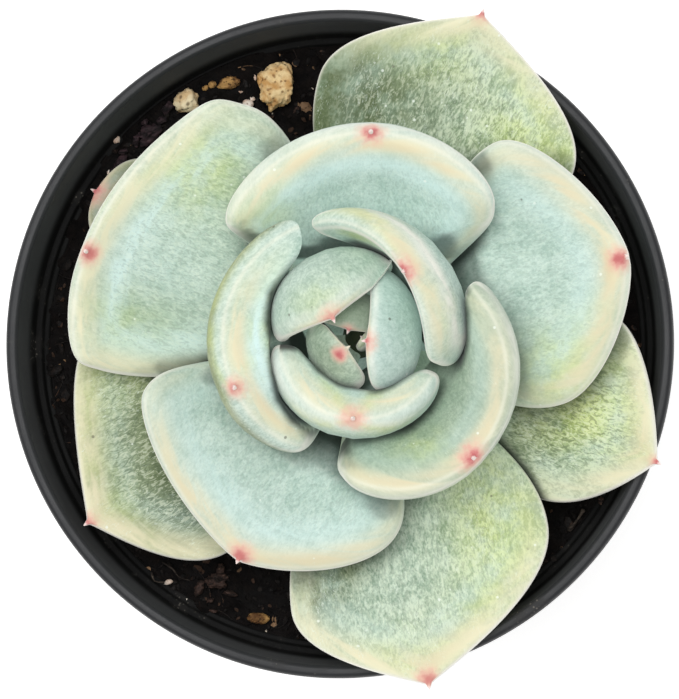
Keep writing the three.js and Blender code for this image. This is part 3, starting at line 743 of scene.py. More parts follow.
def sky_hidden(grid, number):
    """How dark each point of the inner face is, 0 to 1: from the share of the sky that the younger leaves
    hide, and from how near they are. The first leaf has none, and is dark by its depth in the heart."""
    points = grid["points"]
    rows, around, _ = points.shape
    share = np.zeros((rows, around))
    if number == 1:
        return share + smooth_share(0.8, 5, points[-1].mean(axis=0)[2] - points[..., 2])
    tree = shading_tree(number)
    reach = 13 if number < 6 else 10 if number < FIRST_MIDDLE else 7.5
    near = np.zeros((rows, around))
    across = np.roll(points, -1, axis=1) - np.roll(points, 1, axis=1)
    along = np.gradient(points, axis=0)
    normal = np.cross(across, along)
    normal /= np.linalg.norm(normal, axis=2, keepdims=True) + 1e-9
    middle = points.mean(axis=1, keepdims=True)
    normal *= np.sign(np.sum(normal * (points - middle), axis=2, keepdims=True))
    sky = np.array(SKY)
    rays = [Vector(d) for d in SKY]
    for row in range(rows // 5, rows):
        for i in range(around // 2 + 1):
            weights = np.maximum(sky @ normal[row, i], 0) + 0.15
            start = Vector(points[row, i] + 0.25 * normal[row, i])
            hits = [tree.ray_cast(start, ray, reach)[0] is not None for ray in rays]
            share[row, i] = weights[hits].sum() / weights.sum()
            distance = tree.find_nearest(start, NEAR_REACH)[3]
            near[row, i] = 0 if distance is None else NEAR_REACH - distance
    share[1:-1] = (share[:-2] + 2 * share[1:-1] + share[2:]) / 4
    share[:, 1:around // 2] = (
        share[:, :around // 2 - 1] + 2 * share[:, 1:around // 2] + share[:, 2:around // 2 + 1]
    ) / 4
    touching = smooth_share(*((1.15, 2.45) if number < FIRST_MIDDLE else (1.6, 2.6)), near)
    open_sky = 1 - 0.7 * smooth_share(0.14, 0.62, share) - 0.3 * smooth_share(0.5, 0.85, share)
    return 1 - open_sky * (1 - 0.95 * touching)


def leaf_fields(grid, number):
    """The leaf's colour fields at its points: where the margin, the tip mark and the patches lie."""
    look = FINISH[number]
    points = grid["points"].reshape(-1, 3)
    along = grid["along"].ravel()
    across = grid["across"].ravel()
    around = grid["points"].shape[1]
    half = around // 2
    margin = np.concatenate([grid["points"][:, 0], grid["points"][::-1, half]])
    line = np.concatenate([margin[:-1] + (margin[1:] - margin[:-1]) * t for t in (0, 0.25, 0.5, 0.75)])
    edge = distances(points, line)
    signed = np.where(grid["upper"].ravel() >= 0, edge, -edge)
    tip = grid["points"][-1].mean(axis=0)
    from_tip = np.linalg.norm(points - tip, axis=1)
    near_tip = smooth_share(1.3 * look["spread"], 0.35 * look["spread"], from_tip)
    band, shift = look["band"], look.get("shift", 0.0)

    def stripe(centre, width):
        return np.exp(-((signed - centre) / width) ** 2)

    mark = tip
    for key, column in (("mark", 3 * around // 4), ("inner_mark", around // 4)):
        if key in look:
            row = np.argmin(np.abs((1 - grid["along"][:, 0]) * grid["length"] - look[key]))
            mark = grid["points"][row, column]
    on_blade = smooth_share(0.3, 0.62, along)
    outer_face = smooth_share(-0.6, -2.4, signed)
    dusk = look.get("dusk", 0.0)
    fields = {
        "inset": signed,
        "cream": stripe(shift, band) * near_tip,
        "peach": 0.7 * stripe(shift + 0.3 * band, 0.6 * band) * near_tip ** 2 * look["blush"],
        "frost": stripe(shift + 1.9 * band, 0.9 * band) * (0.3 + 0.7 * near_tip) * look.get("frost", 0.3),
        "pale": stripe(shift - 1.5 * band, 0.8 * band) * on_blade * look.get("pale", 0.3),
        "yellow": np.zeros(len(points)),
        "olive": np.zeros(len(points)),
        "rim": stripe(0, 0.3) * on_blade * look.get("rim", 0.4),
        "point": smooth_share(0.7, 0.35, from_tip) * (0.2 if "mark" in look else 0.9),
        "halo": np.full(len(points), look["halo"] * MM),
        "mottle": np.full(len(points), look["mottle"]),
        "bare": np.full(len(points), look.get("bare", 0.0)),
        "wrinkle": look.get("wrinkle", 0.15 if number < 7 else 0.25) * smooth_share(1.2, 6, edge),
        # Painted shade all over the leaf, with more on its outer face where dusk is set
        "dim": look.get("dim", 0.0) + 0.2 * dusk * outer_face,
        # Where the painted rim highlight may lie: near the margin, on the blade
        "edge": smooth_share(2.0, 0.8, edge) * on_blade,
        "red": np.full(len(points), look.get("red", 1.0)),
        "shade": look["shade"] + dusk * outer_face,
        "shadow": sky_hidden(grid, number).ravel(),
    }
    for colour, u, v, reach_u, reach_v, strength in look.get("patches", []):
        patch = strength * np.exp(-((along - u) / reach_u) ** 2 - ((across - v) / reach_v) ** 2)
        fields[colour] = np.clip(fields[colour] + patch, 0, 1)
    return fields, mark


def make_leaf(number, material, younger):
    """Adds a leaf and returns its faces as a tree, for the older leaves."""
    leaf = LEAVES[number - 1]
    rows, quarter = (120, 20) if number >= FIRST_INNER else (72, 14)
    grid = leaf_grid(leaf, number, rows, quarter)
    press_back(grid, younger)
    name = f"leaf_{number:02d}"
    vertices, faces = closed_rings(grid["points"])
    piece = new_piece(name + "_powdered", vertices, faces, material)
    mesh = piece.data
    fields, mark = leaf_fields(grid, number)
    for field, values in fields.items():
        add_field(mesh, field, np.concatenate([values, [values[0], values[-1]]]))
    turn = math.radians(leaf["turn"])
    out = np.array([math.cos(turn), math.sin(turn)])
    side = np.array([-math.sin(turn), math.cos(turn)])
    flat, high = np.array(vertices)[:, :2], np.array(vertices)[:, 2]
    add_places(mesh, "leafwise", np.stack([flat @ out, flat @ side, high + 13.7 * number], axis=1))
    add_places(mesh, "mark", np.broadcast_to(mark * MM, (len(vertices), 3)))
    slot = "leaf_young" if number < FIRST_MIDDLE else "leaf_middle" if number < FIRST_OUTER else "leaf_old"
    seat(piece, slot, name)
    return BVHTree.FromPolygons([Vector(v) for v in vertices], faces)


LEAF = leaf_material()
grown = []
for number in range(1, len(LEAVES) + 1):
    grown.append(make_leaf(number, LEAF, grown))


# Pot
def rounded(profile, radius, steps=4):
    """A profile with its corners rounded off to about the given radius."""
    points = [np.array(p, float) for p in profile]
    line = [points[0]]
    for before, corner, after in zip(points, points[1:], points[2:]):
        back, on = before - corner, after - corner
        reach = min(radius, 0.45 * np.linalg.norm(back), 0.45 * np.linalg.norm(on))
        start = corner + back / np.linalg.norm(back) * reach
        end = corner + on / np.linalg.norm(on) * reach
        for t in np.linspace(0, 1, steps):
            line.append((1 - t) ** 2 * start + 2 * (1 - t) * t * corner + t * t * end)
    line.append(points[-1])
    return np.array(line)


def turned_shape(profile, sides, centre=(0, 0)):
    """A closed turned shape about an upright axis from a profile that starts and ends on it."""
    angle = np.arange(sides) / sides * 2 * np.pi
    r, z = profile[1:-1, 0][:, None], profile[1:-1, 1][:, None]
    rings = np.stack([r * np.cos(angle), r * np.sin(angle), z + 0 * angle], axis=-1)
    rings[..., :2] += centre
    vertices, faces = closed_rings(rings)
    vertices[-2] = (*centre, profile[0][1])
    vertices[-1] = (*centre, profile[-1][1])
    return vertices, faces


def pot_material():
    material, nodes = new_material("worn black plastic")
    where, height = nodes.object_place(), nodes.height()
    dust = nodes.group(SPECKLE, {"Place": where, "Speck size": 0.0006, "Patch size": 0.009, "Amount": 0.45})
    grit = nodes.group(GRIT, {"Place": where, "Size": 0.0016})
    cloud = nodes.noise(where, 0.012, 5.0, 0.65)
    level = nodes.stretched(where, (1, 1, 0))
    out = nodes.add("ShaderNodeVectorMath", {0: level}, operation="LENGTH").outputs[1]
    inside = nodes.span(out, 0.0436, 0.0433)
    lip = nodes.span(height, 0.0752, 0.0757)
    high_wall = nodes.span(height, 0.0675, 0.071)
    tone = nodes.blend(cloud, paint("#17181a"), paint("#212224"))
    worn_and_lit = nodes.blend(cloud, paint("#434446"), paint("#5d5e60"))
    # Inside, painted shade makes the wall near black below about 68 mm; above that it is a grey that is
    # partly wear and partly painted light
    tone = nodes.blend(inside, tone, nodes.blend(high_wall, paint("#030303"), worn_and_lit))
    # The lip is a lighter grey, partly from scuffing and partly as painted light from above
    tone = nodes.tint(tone, nodes.math("MULTIPLY", lip, 0.85), "#303133")
    tone = nodes.tint(tone, nodes.math("MULTIPLY", dust["Film"], 0.25), "#4a4846")
    streaks = nodes.noise(nodes.stretched(where, (1, 1, 0.12)), 0.0016, 4.0, 0.6)
    rubbed = nodes.math("MULTIPLY", nodes.span(streaks, 0.58, 0.75), nodes.span(cloud, 0.45, 0.65))
    tone = nodes.tint(tone, nodes.math("MULTIPLY", rubbed, 0.35), "#55544f")
    tone = nodes.tint(tone, nodes.math("MULTIPLY", dust["Specks"], 0.55), "#8b857b")
    roughness = nodes.span(cloud, 0.2, 0.8, 0.42, 0.56)
    roughness = nodes.math("ADD", roughness, nodes.math("MULTIPLY", dust["Film"], 0.2))
    roughness = nodes.math("ADD", roughness, nodes.math("MULTIPLY", inside, 0.3), True)
    finish(nodes, tone, roughness, grit["Height"], (0.25, 0.00008), Specular_IOR_Level=0.3)
    return material


def make_pot():
    lip = RIM_R - LIP_WIDTH
    wall = [
        (0, 0), (BASE_R - 0.8, 0), (BASE_R, 0.8), (NECK_R, COLLAR_Z - 1.6), (RIM_R - 0.4, COLLAR_Z),
        (RIM_R, POT_HEIGHT - 0.9), (RIM_R - 0.25, POT_HEIGHT - 0.25), (RIM_R - 0.6, POT_HEIGHT),
        (lip + 0.3, POT_HEIGHT), (lip, POT_HEIGHT - 0.4),
        (LEDGE_UPPER[0], LEDGE_UPPER[2]), (LEDGE_UPPER[1], LEDGE_UPPER[2]),
        (LEDGE_LOWER[0], LEDGE_LOWER[2]), (LEDGE_LOWER[1], LEDGE_LOWER[2]),
        (FLOOR_R, FLOOR), (0, FLOOR),
    ]
    vertices, faces = turned_shape(rounded(wall, 0.3), 240)
    pot = new_piece("pot_shell", vertices, faces, POT, sharp=40)
    drill = bmesh.new()
    for hole in range(DRAIN_HOLES):
        angle = 2 * math.pi * hole / DRAIN_HOLES
        place = (DRAIN_CIRCLE_R * math.cos(angle) * MM, DRAIN_CIRCLE_R * math.sin(angle) * MM, 0)
        bmesh.ops.create_cone(drill, cap_ends=True, segments=48, radius1=DRAIN_R * MM, radius2=DRAIN_R * MM,
                              depth=6 * FLOOR * MM, matrix=Matrix.Translation(place))
    mesh = bpy.data.meshes.new("drill")
    drill.to_mesh(mesh)
    drill.free()
    cutter = bpy.data.objects.new("drill", mesh)
    bpy.context.scene.collection.objects.link(cutter)
    bore = pot.modifiers.new("bore", "BOOLEAN")
    bore.object, bore.operation, bore.solver = cutter, "DIFFERENCE", "EXACT"
    plain = baked(pot)
    bpy.data.objects.remove(cutter)
    plain.set_sharp_from_angle(angle=math.radians(40))
    seat(pot, "pot_plastic", "pot")


def baked(piece):
    """Turns a piece with its modifiers into a plain mesh."""
    whole = piece.evaluated_get(bpy.context.evaluated_depsgraph_get())
    mesh = bpy.data.meshes.new_from_object(whole)
    piece.modifiers.clear()
    piece.data = mesh
    return mesh


POT = pot_material()
make_pot()


# Potting mix
HEAP = dict(direction=122, spread=28, height=2.2, start=30, full=40)
MOUND_HEIGHT, MOUND_R = 0.8, 40.0
# Between these radii the mix is open to view and loose bits lie on it
LOOSE_R = (23.0, 41.3)
# Radius of the mix's top, a little short of the ledge
MIX_R = LEDGE_UPPER[0] - 0.45


def mix_height(x, y):
    """Height of the mix: mounded round the stem and heaped against the wall in one direction."""
    r = np.hypot(x, y)
    away = (np.degrees(np.arctan2(y, x)) - HEAP["direction"]) / HEAP["spread"]
    heap = HEAP["height"] * np.exp(-away * away) * smooth_share(HEAP["start"], HEAP["full"], r)
    mound = MOUND_HEIGHT * np.maximum(1 - r / MOUND_R, 0)
    crumbs = np.sin(1.3 * x + 0.5 * y) + np.sin(1.7 * y - 0.6 * x + 1) + np.sin(0.9 * (x + y) + 2)
    return SOIL_LEVEL + heap + mound + 0.16 * crumbs


def relief(x, y, size, seed=0.0):
    """Rough ground between about -1 and 1 at points in millimetres."""
    flat = [
        noise.fractal(Vector((a / size, b / size, seed)), 0.9, 2.1, 4) for a, b in zip(x.ravel(), y.ravel())
    ]
    return np.reshape(flat, x.shape)


def soil_material():
    material, nodes = new_material("dark potting mix")
    where = nodes.object_place()
    grit = nodes.group(GRIT, {"Place": where, "Size": 0.0014})
    damp = nodes.noise(where, 0.007, 4.0, 0.6)
    fibres = nodes.noise(nodes.stretched(where, (1.0, 0.16, 1.0), 35), 0.0009, 3.0, 0.6, 0.7)
    # The mix's dark brown is made near black, partly its own colour and partly painted shade deep in the pot
    tone = nodes.blend(nodes.span(grit["Coarse"], 0.35, 0.7), paint("#060404"), paint("#120d0b"))
    tone = nodes.tint(tone, nodes.span(damp, 0.45, 0.7, 0, 0.7), "#070505")
    tone = nodes.tint(tone, nodes.span(fibres, 0.66, 0.76, 0, 0.6), "#2b1f18")
    tone = nodes.tint(tone, nodes.span(grit["Fine"], 0.68, 0.78, 0, 0.5), "#4a3a2e")
    roughness = nodes.span(damp, 0.3, 0.7, 0.95, 0.7)
    finish(nodes, tone, roughness, grit["Height"], (0.8, 0.0004), Specular_IOR_Level=0.15)
    return material


def make_mix():
    """Adds the bed of mix and returns the part of its top that is open to view."""
    filling = rounded([
        (0, FLOOR + GAP), (FLOOR_R - GAP, FLOOR + GAP),
        (LEDGE_LOWER[1] - GAP, LEDGE_LOWER[2] + GAP), (LEDGE_LOWER[0] - GAP, LEDGE_LOWER[2] + GAP),
        (LEDGE_UPPER[1] - GAP, LEDGE_UPPER[2] + GAP), (LEDGE_UPPER[0] - 0.35, LEDGE_UPPER[2] + GAP),
    ], 0.1, 3)[1:]
    spokes = 320
    angle = np.arange(spokes) / spokes * 2 * np.pi
    rings, ground = [], []
    for r, z in filling:
        x, y = r * np.cos(angle), r * np.sin(angle)
        rings.append(np.stack([x, y, np.minimum(z, mix_height(x, y) - 0.25)], axis=-1))
    for r in MIX_R - 42.0 * np.linspace(0, 1, 78) ** 1.15 * 0.995:
        x, y = max(r, 0.2) * np.cos(angle), max(r, 0.2) * np.sin(angle)
        rough = 0.75 * relief(x, y, 2.6) + 0.35 * relief(x, y, 0.9, 5.0)
        edge = smooth_share(0, 1.2, MIX_R - r)
        rings.append(np.stack([x, y, mix_height(x, y) - 0.2 + edge * rough], axis=-1))
        if LOOSE_R[0] < r < LOOSE_R[1]:
            ground.append(rings[-1])
    vertices, faces = closed_rings(np.array(rings))
    vertices[-2] = (0, 0, FLOOR + GAP)
    seat(new_piece("mix_bed", vertices, faces, SOIL), "potting_mix", "potting_mix")
    return np.array(ground)


SOIL = soil_material()
MIX_SURFACE = make_mix()


def crumb_material():
    """Loose crumbs: each takes its own tone from where it lies."""
    material, nodes = new_material("loose crumbs")
    where = nodes.object_place()
    grit = nodes.group(GRIT, {"Place": where, "Size": 0.0007})
    luck = nodes.add("ShaderNodeSeparateColor", {0: nodes.cells(where, 0.0016)["Color"]}).outputs[0]
    tone = nodes.blend(nodes.span(grit["Coarse"], 0.35, 0.7), paint("#080606"), paint("#1c1410"))
    for least, most, colour in ((0.7, 0.74, "#3d2b20"), (0.93, 0.95, "#8a6c50"), (0.985, 0.99, "#cdbfae")):
        tone = nodes.tint(tone, nodes.span(luck, least, most), colour)
    tone = nodes.tint(tone, nodes.math("MULTIPLY", grit["Pits"], 0.5), "#060404")
    roughness = nodes.span(grit["Fine"], 0.3, 0.7, 0.6, 0.9)
    finish(nodes, tone, roughness, grit["Height"], (0.6, 0.0002), Specular_IOR_Level=0.3)
    return material


# Largest turn about the upright of a scattered bit, in radians
FULL_TURN = 6.28


def scatter_group(name, shape):
    """Copies of one small shape, spread at random over the ground that is put in."""
    tree = bpy.data.node_groups.new(name, "GeometryNodeTree")
    for label, kind in (("Ground", "Geometry"), ("Density", "Float"), ("Seed", "Int"), ("Smallest", "Vector"),
                        ("Largest", "Vector"), ("Tilt", "Float"), ("Material", "Material")):
        tree.interface.new_socket(label, in_out="INPUT", socket_type="NodeSocket" + kind)
    tree.interface.new_socket("Scattered", in_out="OUTPUT", socket_type="NodeSocketGeometry")
    nodes = Nodes(tree)
    given, out = nodes.add("NodeGroupInput").outputs, nodes.add("NodeGroupOutput").inputs
    spots = nodes.add("GeometryNodeDistributePointsOnFaces", {
        "Mesh": given["Ground"], "Density": given["Density"], "Seed": given["Seed"],
    }).outputs["Points"]
    size = nodes.add("FunctionNodeRandomValue", {
        0: given["Smallest"], 1: given["Largest"], 8: given["Seed"],
    }, data_type="FLOAT_VECTOR").outputs[0]
    low = nodes.add("ShaderNodeCombineXYZ", {0: nodes.math("MULTIPLY", given["Tilt"], -1), 2: 0.0}).outputs[0]
    high = nodes.add("ShaderNodeCombineXYZ", {0: given["Tilt"], 1: given["Tilt"], 2: FULL_TURN}).outputs[0]
    turn = nodes.add("FunctionNodeRandomValue", {0: low, 1: high, 8: 7}, data_type="FLOAT_VECTOR").outputs[0]
    copies = nodes.add("GeometryNodeInstanceOnPoints", {
        "Points": spots, "Instance": shape(nodes), "Rotation": turn, "Scale": size,
    }).outputs[0]
    real = nodes.add("GeometryNodeRealizeInstances", {0: copies}).outputs[0]
    painted = nodes.add("GeometryNodeSetMaterial", {"Geometry": real, "Material": given["Material"]})
    tree.links.new(painted.outputs[0], out[0])
    return tree


def crumb_shape(nodes):
    ball = nodes.add("GeometryNodeMeshIcoSphere", {"Radius": 0.5, "Subdivisions": 1}).outputs["Mesh"]
    bumps = nodes.add("FunctionNodeRandomValue", {
        0: (-0.12,) * 3, 1: (0.12,) * 3, 8: 3,
    }, data_type="FLOAT_VECTOR").outputs[0]
    return nodes.add("GeometryNodeSetPosition", {"Geometry": ball, "Offset": bumps}).outputs[0]


def fibre_shape(nodes):
    line = nodes.add("GeometryNodeCurveQuadraticBezier", {
        "Resolution": 6, "Start": (-0.5, 0, 0), "Middle": (0.05, 0.35, 0.12), "End": (0.5, -0.05, 0.02),
    }).outputs[0]
    round_line = nodes.add("GeometryNodeCurvePrimitiveCircle", {"Resolution": 5, "Radius": 0.03}).outputs[0]
    return nodes.add("GeometryNodeCurveToMesh", {
        "Curve": line, "Profile Curve": round_line, "Fill Caps": True,
    }).outputs[0]


def scatter(name, tree, **given):
    """A piece of small copies over the open mix, as a plain mesh."""
    rows, around, _ = MIX_SURFACE.shape
    corner = np.arange(rows * around).reshape(rows, around)
    following = np.roll(corner, -1, axis=1)
    faces = np.stack([corner[:-1], following[:-1], following[1:], corner[1:]], axis=-1)
    piece = new_piece(name, MIX_SURFACE.reshape(-1, 3), faces.reshape(-1, 4).tolist(), given["Material"])
    spread = piece.modifiers.new("scatter", "NODES")
    spread.node_group = tree
    for socket in tree.interface.items_tree:
        if socket.in_out == "INPUT" and socket.name in given:
            spread[socket.identifier] = given[socket.name]
    baked(piece)
    seat(piece, "potting_mix")


CRUMBS = scatter_group("Crumbs over ground", crumb_shape)
FIBRES = scatter_group("Fibres over ground", fibre_shape)
LOOSE = crumb_material()
scatter("mix_crumbs", CRUMBS, Density=3.2e5, Seed=4, Smallest=(0.0003, 0.0003, 0.0002),
        Largest=(0.0013, 0.001, 0.0008), Tilt=0.8, Material=LOOSE)
scatter("mix_grains", CRUMBS, Density=3.0e4, Seed=9, Smallest=(0.0012, 0.0009, 0.0007),
        Largest=(0.0026, 0.0018, 0.0013), Tilt=0.6, Material=LOOSE)
scatter("mix_fibres", FIBRES, Density=3.5e4, Seed=11, Smallest=(0.0015, 0.0012, 0.002),
        Largest=(0.005, 0.003, 0.003), Tilt=0.25, Material=LOOSE)


def lump(size, seed, levels, planes, rough, flat=0.72):
    """A broken lump about the origin: a ball cut by random planes, then roughened. Millimetres. flat is how
    far from the middle the deepest cuts lie, as a share of the ball's radius."""
    random = np.random.default_rng(seed)
    ball = bmesh.new()
    bmesh.ops.create_icosphere(ball, subdivisions=levels, radius=1)
    points = np.array([v.co[:] for v in ball.verts])
    faces = [[v.index for v in face.verts] for face in ball.faces]
    ball.free()
    cuts = random.normal(size=(planes, 3))
    cuts /= np.linalg.norm(cuts, axis=1)[:, None]
    offsets = random.uniform(flat, flat + 0.25, planes)
    reach = np.ones(len(points))
    for cut, offset in zip(cuts, offsets):
        facing = points @ cut
        reach = np.where(facing > 0.2, np.minimum(reach, offset / np.maximum(facing, 0.2)), reach)
    shift = random.uniform(0, 50, 3)
    for i, point in enumerate(points):
        reach[i] += rough * noise.fractal(Vector(point * 2.2 + shift), 0.8, 2.0, 4)
    return points * reach[:, None] * np.array(size) / 2, faces


def turned_about_z(points, degrees):
    c, s = math.cos(math.radians(degrees)), math.sin(math.radians(degrees))
    return points @ np.array([[c, s, 0], [-s, c, 0], [0, 0, 1]])


def stone_material(name, light, dark, stain, size=0.0012):
    material, nodes = new_material(name)
    where = nodes.object_place()
    grit = nodes.group(GRIT, {"Place": where, "Size": size})
    broad = nodes.noise(where, 0.0022, 3.0, 0.6, 0.3)
    tone = nodes.blend(nodes.span(broad, 0.38, 0.62), paint(dark), paint(light))
    tone = nodes.tint(tone, nodes.span(grit["Fine"], 0.5, 0.75, 0, 0.5), light)
    tone = nodes.tint(tone, nodes.math("MULTIPLY", grit["Pits"], 0.75), stain)
    tone = nodes.tint(tone, nodes.span(grit["Coarse"], 0.62, 0.72, 0, 0.45), stain)
    roughness = nodes.span(grit["Fine"], 0.3, 0.7, 0.7, 0.95)
    finish(nodes, tone, roughness, grit["Height"], (0.7, 0.0003), Specular_IOR_Level=0.25)
    return material


def fibrous_material(name, dark, mid, light, angle):
    material, nodes = new_material(name)
    where = nodes.object_place()
    grit = nodes.group(GRIT, {"Place": where, "Size": 0.001})
    ridges = nodes.noise(nodes.stretched(where, (0.2, 1.0, 1.0), -angle), 0.0007, 4.0, 0.6, 0.4)
    tone = nodes.blend(nodes.span(ridges, 0.35, 0.65), paint(dark), paint(mid))
    tone = nodes.tint(tone, nodes.span(ridges, 0.6, 0.75, 0, 0.6), light)
    tone = nodes.tint(tone, nodes.math("MULTIPLY", grit["Pits"], 0.6), dark)
    height = nodes.math("MULTIPLY", grit["Height"], 0.3)
    height = nodes.math("ADD", nodes.math("MULTIPLY", ridges, 0.7), height)
    roughness = nodes.span(ridges, 0.3, 0.7, 0.9, 0.65)
    finish(nodes, tone, roughness, height, (0.8, 0.0003), Specular_IOR_Level=0.3)
    return material


PUMICE = stone_material("tan pumice", "#f0d4a0", "#c8985c", "#85592f")
CREAM_STONE = stone_material("cream pumice", "#f0dfba", "#d9b98a", "#5e4630", 0.0015)
BARK = fibrous_material("dark bark", "#120c0e", "#3d2c31", "#8a6b6b", 42)
WOOD = fibrous_material("brown wood", "#140d0a", "#44312a", "#8f7560", 10)
HUSK = stone_material("speckled husk", "#b98f57", "#5c3d22", "#1f140d", 0.0008)
SHELL = stone_material("white chip", "#f3e9dd", "#d8b9a4", "#8d6a58", 0.0008)
TWIG = fibrous_material("grey twig", "#1a1512", "#4a4038", "#7d7265", 0)


def lie(name, parts, material, slot, *nodes):
    """Lumps that lie on the mix as one piece. Each is its place, size, turn, seed and how it is broken."""
    vertices, faces = [], []
    for (x, y), size, turn, seed, shape in parts:
        points, corners = lump(size, seed, **shape)
        points = turned_about_z(points, turn) + [x, y, float(mix_height(x, y)) + 0.2 * size[2]]
        first = len(vertices)
        vertices.extend(points)
        faces.extend([[i + first for i in corner] for corner in corners])
    seat(new_piece(name, vertices, faces, material), slot, *nodes)


# Ways in which a lump is broken
FINE = dict(levels=5, planes=9, rough=0.16)
MIDDLE = dict(levels=4, planes=8, rough=0.16)
SMALL = dict(levels=3, planes=6, rough=0.14)
SHARD = dict(levels=3, planes=12, rough=0.3, flat=0.45)
FLAKE = dict(levels=2, planes=7, rough=0.2, flat=0.5)
lie("pumice_large_stone", [((-9, 35.7), (5.7, 6.8, 4.2), -12, 3, dict(FINE, flat=0.6))], PUMICE, "pumice_tan",
    "pumice_large")
lie("chip_tan_stone", [
    ((-13, 33.4), (1.6, 1.2, 1.2), -20, 160, SMALL), ((-12.4, 34.1), (0.8, 0.8, 0.7), 10, 161, FLAKE),
], SHELL, "pumice_tan", "chip_tan")
lie("grain_tan_stone", [((-11.6, -37.4), (3.2, 1.6, 1.5), -5, 203, SMALL)], HUSK, "pumice_tan", "grain_tan")
lie("pumice_small_stone", [((-21.3, 33.7), (3.8, 3.2, 3), 25, 41, MIDDLE)], CREAM_STONE, "pumice_cream",
    "pumice_small")
lie("bark_large_chunk", [
    ((-26.6, 29.4), (5.2, 2.4, 2.6), 42, 77, dict(SHARD, levels=4)),
    ((-28.4, 28.4), (2.6, 1.6, 1.8), 75, 79, SHARD), ((-25, 31), (2.4, 1.5, 1.6), 15, 83, SHARD),
    ((-27.2, 30.9), (1.6, 1.1, 1.2), 60, 86, SHARD),
], BARK, "bark", "bark_large")
lie("bark_middle_chunk", [
    ((-30.8, 25), (3.6, 2.2, 2.2), 55, 95, SHARD), ((-30.2, 26.9), (1.8, 1.2, 1.3), 10, 97, SHARD),
    ((-31.9, 24.1), (1.6, 1, 1.1), 80, 99, SHARD),
], BARK, "bark", "bark_middle")
lie("bark_small_chunk", [((-24.1, 32.8), (2.2, 1.8, 1.8), 20, 120, SHARD)], BARK, "bark", "bark_small")
lie("bark_speckled_husk", [
    ((-15.6, 36.2), (3.2, 1.7, 1.6), 8, 140, MIDDLE), ((-17.9, 36), (1.2, 1.1, 1), 12, 142, SMALL),
    ((-18.9, 35.6), (1, 0.8, 0.8), 40, 144, SMALL),
], HUSK, "wood_brown", "bark_speckled")
lie("wood_crumb_knot", [
    ((-17.6, -32.4), (4.2, 2.8, 2.4), 18, 181, dict(SHARD, levels=4)),
    ((-19.7, -33.2), (2.6, 1.7, 1.6), 60, 185, SHARD), ((-15.4, -34), (2.4, 1.5, 1.4), -15, 188, SHARD),
    ((-16.9, -30.8), (2.6, 1.5, 1.5), 70, 191, SHARD), ((-18.3, -35), (1.8, 0.9, 0.9), 5, 194, SHARD),
], WOOD, "wood_brown", "wood_crumb")
lie("grain_brown_bit", [
    ((-5, -38.4), (2, 1.6, 1.5), -30, 233, SMALL), ((-3.6, -38.8), (1.1, 0.9, 0.9), 10, 235, SMALL),
], WOOD, "wood_brown", "grain_brown")
# Loose flakes, chips and crumbs, too small to be pieces of their own
lie("loose_pale_flakes", [
    ((39.2, -1), (1.2, 1.9, 0.9), 15, 301, FLAKE), ((40.6, -10.5), (1.1, 0.9, 0.8), 0, 303, FLAKE),
    ((40.5, -12.4), (0.9, 0.9, 0.8), 0, 305, FLAKE), ((-24, -32.4), (1.5, 1, 0.9), 20, 307, FLAKE),
    ((-21.6, -34.9), (0.6, 0.6, 0.6), 0, 309, FLAKE), ((-31.2, 28.6), (1.4, 1.1, 1), 40, 311, FLAKE),
    ((-32.3, 24), (0.7, 0.8, 0.7), 0, 313, FLAKE), ((-12, 37), (0.5, 1, 0.6), 0, 315, FLAKE),
    ((-14.1, 35), (1, 0.5, 0.6), 5, 317, FLAKE), ((36.9, -21.8), (0.7, 0.6, 0.6), 0, 319, FLAKE),
], SHELL, "pumice_cream")
lie("loose_brown_crumbs", [
    ((35.4, -21.2), (1.2, 1.9, 1.2), 10, 331, SHARD), ((-17.9, -36.4), (1.8, 0.7, 0.7), -10, 333, SHARD),
    ((-31.5, 27), (1.2, 1, 1), 0, 335, SHARD), ((34, -19), (1, 0.8, 0.8), 40, 337, SHARD),
    ((-20.8, 31.2), (1.6, 1, 1), 30, 339, SHARD), ((-6.4, 32.6), (1.4, 1, 1), 70, 341, SHARD),
    ((27.6, -29.6), (1.3, 0.9, 0.9), 20, 343, SHARD), ((22.4, -33.4), (1.1, 0.8, 0.8), 60, 345, SHARD),
], WOOD, "wood_brown")


def tube(line, widths, seed, sides=10):
    """A rough tapered stick along a line of points, closed at both ends. Millimetres."""
    run = np.gradient(line, axis=0)
    run /= np.linalg.norm(run, axis=1)[:, None]
    level = np.cross(run, [0, 0, 1.0])
    level /= np.linalg.norm(level, axis=1)[:, None]
    over = np.cross(level, run)
    angle = np.arange(sides) / sides * 2 * np.pi
    rings = []
    for place, side, top, width in zip(line, level, over, widths):
        knots = np.array([noise.noise(Vector((math.cos(a) * 1.5, math.sin(a) * 1.5, seed + place[0] * 1.3)))
                          for a in angle])
        reach = (width / 2 * (1 + 0.35 * knots))[:, None]
        rings.append(place - reach * np.cos(angle)[:, None] * side + reach * np.sin(angle)[:, None] * top)
    return closed_rings(np.array(rings))


def curve_points(points, steps):
    """Points on a smooth line through a few places."""
    places = np.array(points, float)
    out = []
    for t in np.linspace(0, len(places) - 1, steps):
        i = min(int(t), len(places) - 2)
        f = t - i
        p0, p1, p2, p3 = (places[min(max(i + k, 0), len(places) - 1)] for k in (-1, 0, 1, 2))
        out.append(0.5 * (2 * p1 + (p2 - p0) * f + (2 * p0 - 5 * p1 + 4 * p2 - p3) * f * f
                          + (3 * p1 - p0 - 3 * p2 + p3) * f ** 3))
    return np.array(out)


def make_twig(name, points, thick, seed, *nodes):
    """A twig or root along a smooth line, thinner at its ends."""
    line = curve_points(points, 28)
    s = np.linspace(0, 1, len(line))
    widths = thick * (0.75 + 0.3 * np.sin(7 * s + seed)) * np.minimum(1, np.minimum(s, 1 - s) * 12 + 0.25)
    seat(new_piece(name, *tube(line, widths, seed), TWIG), "twig", *nodes)


